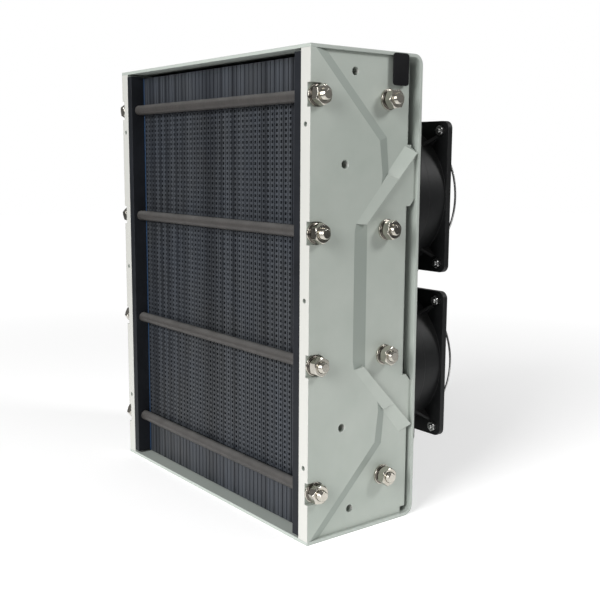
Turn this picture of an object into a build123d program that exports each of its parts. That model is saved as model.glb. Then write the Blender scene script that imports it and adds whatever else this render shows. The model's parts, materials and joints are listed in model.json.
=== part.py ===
from build123d import *
import math
import os

# Air-cooled fuel cell stack. Upright cells stand side by side along X and are clamped between
# two machined end plates by eight tie rods. A folded sheet closes the top, the back and the
# bottom, and four axial fans on its back draw air in through the open front.
# Frame: origin at the middle of the base, +X along the stack of cells, +Y from the open front
# to the fans, +Z up. Millimetres.

# ---- sides of the small rounds that repeat, so that many fasteners stay light
ROUND_SIDES = 12

# ---- folded shroud
STACK_HEIGHT = 357.0
STACK_DEPTH = 106.4
SHEET = 2.5
FOLD_RADIUS = 8.0

# ---- what is stacked along X, from the middle outwards
CELL_COUNT = 42
BIPOLAR_THICKNESS = 4.68
MEMBRANE_THICKNESS = 0.9
COLLECTOR_THICKNESS = 1.5
INSULATOR_THICKNESS = 7.2
END_PLATE_THICKNESS = 10.6

# ---- cells
CELL_DEPTH = 57.6
CELL_BOTTOM_GAP = 1.2
CELL_TOP_GAP = 3.2
MEMBRANE_SETBACK = 0.7
COLLECTOR_TAB_WIDTH = 15.0
COLLECTOR_TAB_TOP_GAP = 4.5
TAB_REACH = 1.5

# ---- tie rods and what is on them
ROD_RADIUS = 4.0
ROD_HOLE_CLEARANCE = 0.5
ROD_TIP = 12.8
ROD_CHAMFER = 0.8
ROD_END_MARGINS = 72.9
ROD_MID_OFFSET = 2.5
FRONT_ROD_INSET = 7.6
SLEEVE_RADIUS = 4.5
SLEEVE_CLEARANCE = 0.1
WASHER_RADIUS = 7.8
WASHER_THICKNESS = 1.6
SPRING_RADIUS = 7.2
SPRING_THICKNESS = 1.8
NUT_FLATS = 13.0
NUT_HEIGHT = 6.5

# ---- end plate
RELIEF_MID_OFFSET = 1.3
RELIEF_DROP = 2.4
LEDGE_DROP = 6.0
LEDGE_WIDTH = 4.1
LEDGE_SLOPE = 1.8
PLATE_REAR_GAP = 5.4
RELIEF_DRAWN_REAR = 98.5
RELIEF_HIGH = [(64.6, 113.2), (67.8, 88.8), (66.8, 80.5), (42.8, 53.9), (41.5, 47.0)]
RELIEF_FOOT = [(73.5, 116.0), (76.0, 90.5), (76.0, 84.0), (55.8, 56.0), (55.8, 47.0)]
RELIEF_HIGH_START = 3.2
RELIEF_FOOT_START = 13.8
RIB_FOOT = [(42.8, 53.9), (73.4, 88.8), (92.0, 110.0)]
RIB_RIDGE = [(52.3, 52.9), (83.9, 85.7), (102.4, 105.0)]
EAR_LEAD_IN = 2.4
EAR_LEDGE_GAP = 4.5
TOP_CORNER = 2.0
EAR_BOTTOM = 65.2
EAR_TOP = 106.4
EAR_CORNER = 6.0
FOOT_STEP = 3.4
FOOT_NOTCH = 5.0
POCKET_DEPTH = 3.4
POCKET_CLEARANCE = 0.4
RIB_PROUD = 0.9
RIB_BACK = 1.0
RIB_SINK = 0.3
SIDE_HOLE_RADIUS = 3.0
SIDE_HOLE_CHAMFER = 0.4
OUTER_HOLE_INSET = 42.2
OUTER_HOLE_MARGINS = 34.2
INNER_HOLE_INSET = 31.8
INNER_HOLE_SPACING = 192.4
FRONT_HOLE_RADIUS = 1.75
FRONT_HOLE_DEPTH = 12.0
FRONT_HOLE_MARGIN = 55.7
FRONT_HOLE_OFFSET = 2.0
INSULATOR_SETBACK = 6.5
INSULATOR_GAP = 1.9

# ---- terminal cap
CAP_SETBACK = 14.75
CAP_WIDTH = 15.1
CAP_HEIGHT = 23.1
CAP_TOP_GAP = 0.7
CAP_FLANGE = 1.0
CAP_CORNER = 2.5
CAP_PLUG_WIDTH = 10.5
CAP_PLUG_HEIGHT = 12.0

# ---- countersunk shroud screws
SCREW_RADIUS = 2.0
SCREW_HEAD_RADIUS = 3.9
SCREW_HEAD_HEIGHT = 2.1
SCREW_LENGTH = 11.0
EDGE_SCREW_INSETS = (18.0, 60.0)
EAR_SCREW_HEIGHT = 86.0

# ---- fans
FAN_SIZE = 120.0
FAN_DEPTH = 38.0
FAN_CORNER = 6.0
FAN_HOLE_EDGE = 7.5
FAN_HOLE_CLEARANCE = 0.25
FAN_SPACING_X = 142.2
FAN_SPACING_Z = 135.6
FAN_MID_OFFSET = 4.0
GASKET_THICKNESS = 4.0
FLANGE_THICKNESS = 4.5
BARREL_WALL = 2.6
BARREL_STEP = 1.0
BARREL_STEP_DEPTH = 15.5
DUCT_EDGE = 3.0
GUSSET_LENGTH = 10.0
GUSSET_THICKNESS = 2.4
HUB_RADIUS = 23.0
HUB_WALL = 2.2
HUB_FRONT_GAP = 3.0
HUB_DEPTH = 28.0
BASE_THICKNESS = 2.6
STRUT_WIDTH = 4.5
STRUT_DEPTH = 3.6
BLADE_COUNT = 7
BLADE_TIP_GAP = 1.0
BLADE_THICKNESS = 1.6
BLADE_ROOT_CHORD = 27.0
BLADE_TIP_CHORD = 38.0
BLADE_ROOT_PITCH = 52.0
BLADE_TIP_PITCH = 27.0
BLADE_CAMBER = 2.6
SHAFT_RADIUS = 1.5
BEARING_CLEARANCE = 0.05
BEARING_RADIUS = 4.0
BEARING_WIDTH = 4.0
BEARING_TUBE_WALL = 1.8
BEARING_SPAN = 16.0
STATOR_GAP = 0.9
STATOR_LENGTH = 12.0
STATOR_POLES = 4
STATOR_POLE_WIDTH = 7.0
SHAFT_END_GAP = 0.5

# ---- finger guards and fan fasteners
GUARD_WIRE = 1.7
GUARD_OVERLAP = 0.5
GUARD_RINGS = 3
GUARD_INNER_RADIUS = 19.0
GUARD_STAND_OFF = 6.0
GUARD_EYE_WALL = 2.0
GUARD_LEG_RUN = 9.0
FAN_SCREW_RADIUS = 2.0
FAN_SCREW_HEAD_RADIUS = 3.6
FAN_SCREW_HEAD_HEIGHT = 2.6
FAN_NUT_FLATS = 7.0
FAN_NUT_HEIGHT = 3.2
FAN_THREAD_END = 1.5

# ---- hydrogen fittings on the left end plate
FITTING_INSET = 62.0
FITTING_BOTTOM_GAP = 62.0
FITTING_TOP_GAP = 57.0
FITTING_THREAD_RADIUS = 4.8
FITTING_FLATS = 14.0
FITTING_SEAT_MARGIN = 0.6
FITTING_HEX_HEIGHT = 6.0
FITTING_BODY_RADIUS = 5.6
FITTING_BODY_LENGTH = 8.0
FITTING_COLLAR_RADIUS = 4.8
FITTING_COLLAR_LENGTH = 3.0
TUBE_BORE_RADIUS = 3.0

# ---- places worked out from the sizes above
FRONT = -STACK_DEPTH / 2
REAR = STACK_DEPTH / 2
MID_HEIGHT = STACK_HEIGHT / 2
PLATE_MID = MID_HEIGHT + RELIEF_MID_OFFSET
ROD_MID = MID_HEIGHT + ROD_MID_OFFSET
CORE_HALF = ((CELL_COUNT + 1) * BIPOLAR_THICKNESS + CELL_COUNT * MEMBRANE_THICKNESS) / 2
COLLECTOR_FACE = CORE_HALF + COLLECTOR_THICKNESS
INSULATOR_FACE = COLLECTOR_FACE + INSULATOR_THICKNESS
OUTER_FACE = INSULATOR_FACE + END_PLATE_THICKNESS
LOW_FACE = OUTER_FACE - RELIEF_DROP
LEDGE_FACE = OUTER_FACE - LEDGE_DROP
POCKET_FACE = OUTER_FACE - POCKET_DEPTH
PLATE_BOTTOM = SHEET
PLATE_TOP = STACK_HEIGHT - SHEET
SHEET_INSIDE = STACK_DEPTH - SHEET
PLATE_REAR = SHEET_INSIDE - PLATE_REAR_GAP
INSULATOR_REAR = PLATE_REAR - INSULATOR_SETBACK
CAP_INSET = PLATE_REAR - CAP_SETBACK
CELL_INSET = FRONT_ROD_INSET + SLEEVE_RADIUS + SLEEVE_CLEARANCE
REAR_ROD_INSET = CELL_INSET + CELL_DEPTH + SLEEVE_CLEARANCE + SLEEVE_RADIUS
CELL_BOTTOM = SHEET + CELL_BOTTOM_GAP
CELL_TOP = STACK_HEIGHT - SHEET - CELL_TOP_GAP
ROD_PITCH = (STACK_HEIGHT - ROD_END_MARGINS) / 3
ROD_HEIGHTS = [ROD_MID + ROD_PITCH * (row - 1.5) for row in range(4)]
ROD_HALF = OUTER_FACE + ROD_TIP
OUTER_HOLE_SPACING = STACK_HEIGHT - OUTER_HOLE_MARGINS
FRONT_HOLE_SPACING = MID_HEIGHT - FRONT_HOLE_MARGIN
ROD_HOLE = ROD_RADIUS + ROD_HOLE_CLEARANCE
STRIP_MIDDLE = (INSULATOR_FACE + OUTER_FACE) / 2
CAP_TOP = STACK_HEIGHT - CAP_TOP_GAP
CAP_MIDDLE = CAP_TOP - CAP_HEIGHT / 2
FAN_MID = MID_HEIGHT + FAN_MID_OFFSET
FAN_HOLE_PITCH = FAN_SIZE - 2 * FAN_HOLE_EDGE
DUCT_RADIUS = FAN_SIZE / 2 - DUCT_EDGE
GUARD_RADIUS = DUCT_RADIUS + GUARD_OVERLAP
HOUSING_FRONT = GASKET_THICKNESS
HOUSING_REAR = HOUSING_FRONT + FAN_DEPTH
REAR_FLANGE = HOUSING_REAR - FLANGE_THICKNESS
FRONT_FLANGE = HOUSING_FRONT + FLANGE_THICKNESS
BASE_FRONT = HOUSING_REAR - BASE_THICKNESS
HUB_FRONT = HOUSING_FRONT + HUB_FRONT_GAP
TIP_RADIUS = DUCT_RADIUS - BLADE_TIP_GAP
TUBE_RADIUS = BEARING_RADIUS + BEARING_TUBE_WALL
TUBE_FRONT = BASE_FRONT - BEARING_SPAN
FANS = {
    "upper_right": (FAN_SPACING_X / 2, FAN_MID + FAN_SPACING_Z / 2),
    "upper_left": (-FAN_SPACING_X / 2, FAN_MID + FAN_SPACING_Z / 2),
    "lower_right": (FAN_SPACING_X / 2, FAN_MID - FAN_SPACING_Z / 2),
    "lower_left": (-FAN_SPACING_X / 2, FAN_MID - FAN_SPACING_Z / 2),
}
FITTING_HEIGHTS = {
    "hydrogen_outlet_fitting": FITTING_BOTTOM_GAP,
    "hydrogen_inlet_fitting": STACK_HEIGHT - FITTING_TOP_GAP,
}
FAN_CORNERS = [(a * FAN_HOLE_PITCH / 2, b * FAN_HOLE_PITCH / 2) for a in (-1, 1) for b in (-1, 1)]


# ---- helpers
def block(x0, x1, inset0, inset1, z0, z1):
    """Box between two X faces, two distances behind the open front and two heights."""
    size = (x1 - x0, inset1 - inset0, z1 - z0)
    return Pos(x0, FRONT + inset0, z0) * Box(*size, align=(Align.MIN, Align.MIN, Align.MIN))


def side_face(points, x):
    """Flat face across X from corners given as distance behind the front and height."""
    corners = [(x, FRONT + inset, z) for inset, z in points]
    return Face(Wire.make_polygon([Vector(*corner) for corner in corners], close=True))


def side_prism(points, x0, x1):
    """Straight bar along X with the outline that side_face takes."""
    return extrude(side_face(points, x0), amount=x1 - x0, dir=(1, 0, 0))


def along_x(x, inset, z, solid):
    """Stands a turned piece, made along Z from its seat, on a face that looks along +X."""
    return Pos(x, FRONT + inset, z) * Rot(0, 90, 0) * solid


def small_round(radius):
    """Outline of a small round that repeats: a regular polygon with ROUND_SIDES sides."""
    return RegularPolygon(radius, ROUND_SIDES)


def bar(radius, x0, x1, inset, z):
    """Straight bar along X for the rods and the holes that they pass through."""
    return along_x(x0, inset, z, extrude(small_round(radius), amount=x1 - x0))


def bore(radius, x0, x1, inset, z):
    """True round along X, for tapped holes and tubes."""
    return along_x(x0, inset, z, extrude(Circle(radius), amount=x1 - x0))


def countersunk(radius, head_radius, head_height):
    """Cone from the head's rim down to the shank, made of the same small rounds."""
    rim = small_round(head_radius)
    neck = Pos(0, 0, head_height) * small_round(radius)
    return loft([rim.face(), neck.face()], ruled=True)


def on_fan(name, solid):
    """Carries a piece made about Z, from the rear sheet outwards, to its fan."""
    x, z = FANS[name]
    return Pos(x, REAR, z) * Rot(-90, 0, 0) * solid


def at_corners(solid):
    """One copy of a piece at each of a fan's four screws."""
    return [Pos(x, y, 0) * solid for x, y in FAN_CORNERS]


def slab(sketch, z0, z1):
    """Plate between two heights of a fan's own axis."""
    return Pos(0, 0, z0) * extrude(sketch, amount=z1 - z0)


def other_side(solid):
    """The same piece on the left end of the stack."""
    return mirror(solid, about=Plane.YZ)


def washer(outer, inner, height):
    return extrude(small_round(outer) - small_round(inner), amount=height)


def hex_nut(flats, height, thread_radius):
    """Hexagon nut on a thread of the given radius."""
    return extrude(RegularPolygon(flats / math.sqrt(3), 6) - small_round(thread_radius), amount=height)


# ---- end plate, right side
def fitted_to_plate(points):
    """Corners of the relief, which are drawn for one depth of plate, brought to this depth."""
    return [(inset * PLATE_REAR / RELIEF_DRAWN_REAR, up) for inset, up in points]


def relief_points():
    """High outline and its foot, upper half, as distance behind the front and height above the
    relief's middle. The face is high at the front and falls away to the rear."""
    top = PLATE_TOP - PLATE_MID + RELIEF_MID_OFFSET
    high = [(RELIEF_HIGH_START, top)] + RELIEF_HIGH
    foot = [(RELIEF_FOOT_START, top)] + RELIEF_FOOT
    return fitted_to_plate(high), fitted_to_plate(foot)


def mirrored_outline(upper):
    """Closes an upper half outline, which starts at the top, about the relief's middle."""
    top = PLATE_TOP - PLATE_MID
    bottom = PLATE_BOTTOM - PLATE_MID
    first_inset, first_height = upper[0]
    run = (upper[1][0] - first_inset) / (first_height - upper[1][1])
    start = (first_inset + run * (first_height - top), top)
    end = (first_inset + run * (first_height + bottom), bottom)
    lower = [(inset, -height) for inset, height in reversed(upper[1:])]
    points = [(0, top), start] + upper[1:] + lower + [end, (0, bottom)]
    return [(inset, PLATE_MID + height) for inset, height in points]


def rib(foot, ridge, foot_face, side):
    """Diagonal rib: a gentle front slope from the foot line up to the ridge, then a steep back.
    side is 1 for the upper rib and -1 for its mirror image below."""
    sections = []
    for (foot_inset, foot_up), (ridge_inset, ridge_up) in zip(foot, ridge):
        run = math.hypot(ridge_inset - foot_inset, ridge_up - foot_up)
        back_inset = ridge_inset + (ridge_inset - foot_inset) / run * RIB_BACK
        back_up = ridge_up + (ridge_up - foot_up) / run * RIB_BACK
        corners = [
            (LOW_FACE - RIB_SINK, foot_inset, foot_up),
            (foot_face, foot_inset, foot_up),
            (OUTER_FACE + RIB_PROUD, ridge_inset, ridge_up),
            (LOW_FACE - RIB_SINK, back_inset, back_up),
        ]
        points = [Vector(x, FRONT + inset, PLATE_MID + side * up) for x, inset, up in corners]
        sections.append(Face(Wire.make_polygon(points, close=True)))
    return loft(sections, ruled=True)


def plate_outline():
    """Edge of the end plate: straight at the front, two ears that reach the rear sheet."""
    ear = [
        (PLATE_REAR, EAR_TOP + EAR_LEAD_IN), (SHEET_INSIDE, EAR_TOP),
        (SHEET_INSIDE, EAR_BOTTOM + EAR_CORNER), (PLATE_REAR, EAR_BOTTOM),
    ]
    upper = [(inset, PLATE_MID + up) for inset, up in ear]
    lower = [(inset, PLATE_MID - up) for inset, up in reversed(ear[1:])]
    step = PLATE_REAR + FOOT_STEP / 2
    foot = [(step, PLATE_MID - EAR_TOP), (step, PLATE_BOTTOM + FOOT_NOTCH),
            (step - FOOT_NOTCH, PLATE_BOTTOM + FOOT_NOTCH), (step - FOOT_NOTCH, PLATE_BOTTOM)]
    head = [(0, PLATE_BOTTOM), (0, PLATE_TOP), (PLATE_REAR - TOP_CORNER, PLATE_TOP),
            (PLATE_REAR, PLATE_TOP - TOP_CORNER)]
    return head + upper + lower + foot


def ledge_cut(z0, z1):
    """Sloping step along the rear edge, cut out between two heights."""
    start = PLATE_REAR - LEDGE_WIDTH
    profile = [(start, LOW_FACE), (start + LEDGE_SLOPE, LEDGE_FACE), (PLATE_REAR + 1.0, LEDGE_FACE),
               (PLATE_REAR + 1.0, OUTER_FACE), (start, OUTER_FACE)]
    corners = [Vector(x, FRONT + inset, z0) for inset, x in profile]
    return extrude(Face(Wire.make_polygon(corners, close=True)), amount=z1 - z0, dir=(0, 0, 1))


def end_plate():
    """Machined plate with its relief, nut pockets, rod holes and tapped holes."""
    high, foot = relief_points()
    plate = side_prism(plate_outline(), INSULATOR_FACE, LOW_FACE)
    plate += loft([side_face(mirrored_outline(foot), LOW_FACE),
                   side_face(mirrored_outline(high), OUTER_FACE)], ruled=True)
    rib_foot = fitted_to_plate(RIB_FOOT)
    rib_ridge = fitted_to_plate(RIB_RIDGE)
    for side in (1, -1):
        plate += rib(rib_foot[:2], rib_ridge[:2], OUTER_FACE, side)
        plate += rib(rib_foot[1:], rib_ridge[1:], LOW_FACE, side)
    plate -= ledge_cut(PLATE_MID - EAR_BOTTOM, PLATE_MID + EAR_BOTTOM)
    plate -= ledge_cut(PLATE_MID + EAR_TOP + EAR_LEDGE_GAP, PLATE_TOP)

    pocket_radius = WASHER_RADIUS + POCKET_CLEARANCE
    pocket_end = FRONT_ROD_INSET
    for z in ROD_HEIGHTS:
        plate -= block(POCKET_FACE, OUTER_FACE, -1.0, pocket_end, z - pocket_radius, z + pocket_radius)
        plate -= bore(pocket_radius, POCKET_FACE, OUTER_FACE, pocket_end, z)
        for inset in (FRONT_ROD_INSET, REAR_ROD_INSET):
            plate -= bar(ROD_HOLE, INSULATOR_FACE, OUTER_FACE, inset, z)
    for inset, spacing in ((OUTER_HOLE_INSET, OUTER_HOLE_SPACING), (INNER_HOLE_INSET, INNER_HOLE_SPACING)):
        for side in (1, -1):
            z = PLATE_MID + side * spacing / 2
            plate -= bore(SIDE_HOLE_RADIUS, INSULATOR_FACE, OUTER_FACE, inset, z)
            mouth = Cone(SIDE_HOLE_RADIUS, SIDE_HOLE_RADIUS + SIDE_HOLE_CHAMFER, SIDE_HOLE_CHAMFER,
                         align=(Align.CENTER, Align.CENTER, Align.MAX))
            plate -= along_x(OUTER_FACE, inset, z, mouth)
    for step in (-1, 0, 1):
        z = MID_HEIGHT + FRONT_HOLE_OFFSET + step * FRONT_HOLE_SPACING
        hole = extrude(Circle(FRONT_HOLE_RADIUS), amount=FRONT_HOLE_DEPTH)
        plate -= Pos(STRIP_MIDDLE, FRONT, z) * Rot(-90, 0, 0) * hole
    plate -= cap_plug(INSULATOR_FACE)
    for screw in shroud_screws():
        plate -= screw
    return plate


def insulator_plate():
    """Black moulded plate that keeps the live cells off the end plate."""
    plate = block(COLLECTOR_FACE, INSULATOR_FACE, 0, INSULATOR_REAR,
                  SHEET + INSULATOR_GAP, STACK_HEIGHT - SHEET - INSULATOR_GAP)
    for z in ROD_HEIGHTS:
        for inset in (FRONT_ROD_INSET, REAR_ROD_INSET):
            plate -= bar(SLEEVE_RADIUS + SLEEVE_CLEARANCE, COLLECTOR_FACE, INSULATOR_FACE, inset, z)
    return plate - cap_plug(COLLECTOR_FACE)


def current_collector():
    """Sheet metal plate on the last cell, with a tab that reaches back under the terminal cap."""
    tab_top = CAP_MIDDLE + COLLECTOR_TAB_WIDTH / 2
    plate = block(CORE_HALF, COLLECTOR_FACE, CELL_INSET, CELL_INSET + CELL_DEPTH, CELL_BOTTOM, CELL_TOP)
    tab = block(CORE_HALF, COLLECTOR_FACE, CELL_INSET + CELL_DEPTH - 1.0, CAP_INSET + CAP_PLUG_WIDTH / 2 + TAB_REACH,
                tab_top - COLLECTOR_TAB_WIDTH, min(tab_top, CELL_TOP))
    return plate + tab


def cap_plug(x0):
    """Room that the cap's plug takes in the plates, from x0 outwards."""
    half_width = CAP_PLUG_WIDTH / 2
    half_height = CAP_PLUG_HEIGHT / 2
    return block(x0, OUTER_FACE, CAP_INSET - half_width, CAP_INSET + half_width,
                 CAP_MIDDLE - half_height, CAP_MIDDLE + half_height)


def terminal_cap():
    """Moulded cap over the window for the collector's tab, lapping onto the shroud's edge."""
    flange = extrude(RectangleRounded(CAP_HEIGHT, CAP_WIDTH, CAP_CORNER), amount=CAP_FLANGE)
    return along_x(OUTER_FACE, CAP_INSET, CAP_MIDDLE, flange) + cap_plug(COLLECTOR_FACE)


# ---- cells
def bipolar_plates():
    pitch = BIPOLAR_THICKNESS + MEMBRANE_THICKNESS
    first = -CORE_HALF
    return [
        block(first + pitch * i, first + pitch * i + BIPOLAR_THICKNESS,
              CELL_INSET, CELL_INSET + CELL_DEPTH, CELL_BOTTOM, CELL_TOP)
        for i in range(CELL_COUNT + 1)
    ]


def membrane_frames():
    pitch = BIPOLAR_THICKNESS + MEMBRANE_THICKNESS
    first = -CORE_HALF + BIPOLAR_THICKNESS
    return [
        block(first + pitch * i, first + pitch * i + MEMBRANE_THICKNESS,
              CELL_INSET + MEMBRANE_SETBACK, CELL_INSET + CELL_DEPTH - MEMBRANE_SETBACK,
              CELL_BOTTOM + MEMBRANE_SETBACK, CELL_TOP - MEMBRANE_SETBACK)
        for i in range(CELL_COUNT)
    ]


# ---- tie rods and their hardware
def tie_rods():
    straight = extrude(small_round(ROD_RADIUS), amount=2 * ROD_HALF)
    ends = [edge for face in straight.faces().sort_by(Axis.Z)[::len(straight.faces()) - 1] for edge in face.edges()]
    one = chamfer(ends, ROD_CHAMFER)
    return [along_x(-ROD_HALF, inset, z, one)
            for inset in (FRONT_ROD_INSET, REAR_ROD_INSET) for z in ROD_HEIGHTS]


def rod_sleeves(inset):
    """Shrink-fit sleeves that run between the two end plates."""
    sleeve = washer(SLEEVE_RADIUS, ROD_RADIUS, 2 * INSULATOR_FACE)
    return [along_x(-INSULATOR_FACE, inset, z, sleeve) for z in ROD_HEIGHTS]


def on_rod_ends(solid, above_seat):
    """A copy at both ends of all eight rods. Front seats are the pockets, rear seats the low face."""
    copies = []
    for inset, seat in ((FRONT_ROD_INSET, POCKET_FACE), (REAR_ROD_INSET, LOW_FACE)):
        for z in ROD_HEIGHTS:
            right = along_x(seat + above_seat, inset, z, solid)
            copies += [right, other_side(right)]
    return copies


def disc_spring():
    """Coned spring washer, flat side on the washer."""
    cone = countersunk(SPRING_RADIUS - SPRING_THICKNESS, SPRING_RADIUS, SPRING_THICKNESS)
    return cone - extrude(small_round(ROD_RADIUS), amount=SPRING_THICKNESS)


# ---- shroud
def shroud_screws():
    """Countersunk screws through the sheet, top, bottom and back, into the right end plate."""
    head = countersunk(SCREW_RADIUS, SCREW_HEAD_RADIUS, SCREW_HEAD_HEIGHT)
    screw = head + extrude(small_round(SCREW_RADIUS), amount=SCREW_LENGTH)
    placed = []
    for inset in EDGE_SCREW_INSETS:
        placed.append(Pos(STRIP_MIDDLE, FRONT + inset, 0) * screw)
        placed.append(Pos(STRIP_MIDDLE, FRONT + inset, STACK_HEIGHT) * Rot(180, 0, 0) * screw)
    for side in (1, -1):
        z = PLATE_MID + side * EAR_SCREW_HEIGHT
        placed.append(Pos((INSULATOR_FACE + LOW_FACE) / 2, REAR, z) * Rot(90, 0, 0) * screw)
    return placed


def shroud():
    """One folded sheet: top, back and bottom, open at the front and at both ends."""
    outside = block(-OUTER_FACE, OUTER_FACE, 0, STACK_DEPTH, 0, STACK_HEIGHT)
    outside = fillet(outside.edges().filter_by(Axis.X).sort_by(Axis.Y)[-2:], FOLD_RADIUS)
    inside = block(-OUTER_FACE, OUTER_FACE, -STACK_DEPTH, SHEET_INSIDE, SHEET, STACK_HEIGHT - SHEET)
    inside = fillet(inside.edges().filter_by(Axis.X).sort_by(Axis.Y)[-2:], FOLD_RADIUS - SHEET)
    sheet = outside - inside
    hole = extrude(small_round(FAN_SCREW_RADIUS + FAN_HOLE_CLEARANCE), amount=-SHEET)
    for name in FANS:
        sheet -= on_fan(name, extrude(Circle(DUCT_RADIUS), amount=-SHEET))
        for copy in at_corners(hole):
            sheet -= on_fan(name, copy)
    for screw in shroud_screws():
        sheet -= screw
        sheet -= other_side(screw)
    return sheet


# ---- fans
def fan_square():
    """Square of a fan with its four screw holes, as a flat sketch."""
    square = RectangleRounded(FAN_SIZE, FAN_SIZE, FAN_CORNER)
    for x, y in FAN_CORNERS:
        square -= Pos(x, y) * small_round(FAN_SCREW_RADIUS + FAN_HOLE_CLEARANCE)
    return square


def fan_gasket():
    return slab(fan_square() - Circle(DUCT_RADIUS), 0, GASKET_THICKNESS)


def fan_housing():
    """Cast frame: two square flanges, the stepped duct between them, gussets behind the corners,
    four struts, and the motor's base with its bearing tube."""
    wall = DUCT_RADIUS + BARREL_WALL
    body = slab(fan_square(), HOUSING_FRONT, FRONT_FLANGE)
    body += slab(fan_square(), REAR_FLANGE, HOUSING_REAR)
    body += slab(Circle(wall), HOUSING_FRONT, HOUSING_FRONT + BARREL_STEP_DEPTH)
    body += slab(Circle(wall - BARREL_STEP), HOUSING_FRONT + BARREL_STEP_DEPTH, HOUSING_REAR)
    for quarter in range(4):
        for flange, direction in ((FRONT_FLANGE, 1), (REAR_FLANGE, -1)):
            foot = DUCT_RADIUS + 1.0
            points = [(foot, flange), (foot + GUSSET_LENGTH, flange), (foot, flange + direction * GUSSET_LENGTH)]
            face = Face(Wire.make_polygon([Vector(r, -GUSSET_THICKNESS / 2, z) for r, z in points], close=True))
            body += Rot(0, 0, 45 + 90 * quarter) * extrude(face, amount=GUSSET_THICKNESS, dir=(0, 1, 0))
    body -= slab(Circle(DUCT_RADIUS), HOUSING_FRONT, HOUSING_REAR)
    body += slab(Circle(HUB_RADIUS), BASE_FRONT, HOUSING_REAR)
    reach = DUCT_RADIUS + 1.0 - HUB_RADIUS / 2
    strut = Rectangle(reach, STRUT_WIDTH, align=(Align.MIN, Align.CENTER))
    for quarter in range(4):
        angle = 20 + 90 * quarter
        body += Rot(0, 0, angle) * Pos(HUB_RADIUS / 2, 0, 0) * slab(strut, HOUSING_REAR - STRUT_DEPTH, HOUSING_REAR)
    body += slab(Circle(TUBE_RADIUS), TUBE_FRONT, BASE_FRONT)
    body -= slab(Circle(BEARING_RADIUS), TUBE_FRONT, BASE_FRONT)
    return body


def blade_section(radius, chord, pitch, sweep):
    """Cambered blade section of constant thickness, square to a radius of the fan."""
    half = chord / 2
    back = BLADE_CAMBER + BLADE_THICKNESS
    outline = [
        ThreePointArc((-half, 0), (0, BLADE_CAMBER), (half, 0)),
        Line((half, 0), (half, BLADE_THICKNESS)),
        ThreePointArc((half, BLADE_THICKNESS), (0, back), (-half, BLADE_THICKNESS)),
        Line((-half, BLADE_THICKNESS), (-half, 0)),
    ]
    middle = HUB_FRONT + HUB_DEPTH / 2
    place = Plane(origin=(radius * math.cos(sweep), radius * math.sin(sweep), middle),
                  x_dir=(-math.sin(sweep), math.cos(sweep), 0), z_dir=(math.cos(sweep), math.sin(sweep), 0))
    return place * Rot(0, 0, pitch) * make_face(outline)


def fan_rotor():
    """Hub cup with twisted blades, bored for the shaft."""
    hub = slab(Circle(HUB_RADIUS), HUB_FRONT, HUB_FRONT + HUB_DEPTH)
    hub -= slab(Circle(HUB_RADIUS - HUB_WALL), HUB_FRONT + HUB_WALL, HUB_FRONT + HUB_DEPTH)
    blade = loft([
        blade_section(HUB_RADIUS - HUB_WALL / 2, BLADE_ROOT_CHORD, BLADE_ROOT_PITCH, 0.0),
        blade_section(TIP_RADIUS + BLADE_TIP_GAP, BLADE_TIP_CHORD, BLADE_TIP_PITCH, 0.12),
    ], ruled=True)
    blade &= slab(Circle(TIP_RADIUS) - Circle(HUB_RADIUS - HUB_WALL), HUB_FRONT, HUB_FRONT + HUB_DEPTH)
    for i in range(BLADE_COUNT):
        hub += Rot(0, 0, 360 / BLADE_COUNT * i) * blade
    return hub - slab(Circle(SHAFT_RADIUS), HUB_FRONT, HUB_FRONT + HUB_WALL)


def fan_shaft():
    return slab(Circle(SHAFT_RADIUS), HUB_FRONT, BASE_FRONT - SHAFT_END_GAP)


def fan_bearings():
    """Front and rear ball bearings, seated in the tube with the shaft running free inside."""
    bearing = extrude(Circle(BEARING_RADIUS) - Circle(SHAFT_RADIUS + BEARING_CLEARANCE), amount=BEARING_WIDTH)
    return [Pos(0, 0, z) * bearing for z in (TUBE_FRONT, BASE_FRONT - BEARING_WIDTH - SHAFT_END_GAP)]


def fan_stator():
    """Laminated poles pressed onto the bearing tube."""
    pole_tip = HUB_RADIUS - HUB_WALL - STATOR_GAP
    sketch = Circle(TUBE_RADIUS * 1.4)
    for i in range(STATOR_POLES):
        sketch += Rot(0, 0, 360 / STATOR_POLES * i) * Pos(pole_tip / 2, 0) * Rectangle(pole_tip, STATOR_POLE_WIDTH)
    sketch &= Circle(pole_tip)
    sketch -= Circle(TUBE_RADIUS)
    return slab(sketch, TUBE_FRONT, TUBE_FRONT + STATOR_LENGTH)


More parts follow.
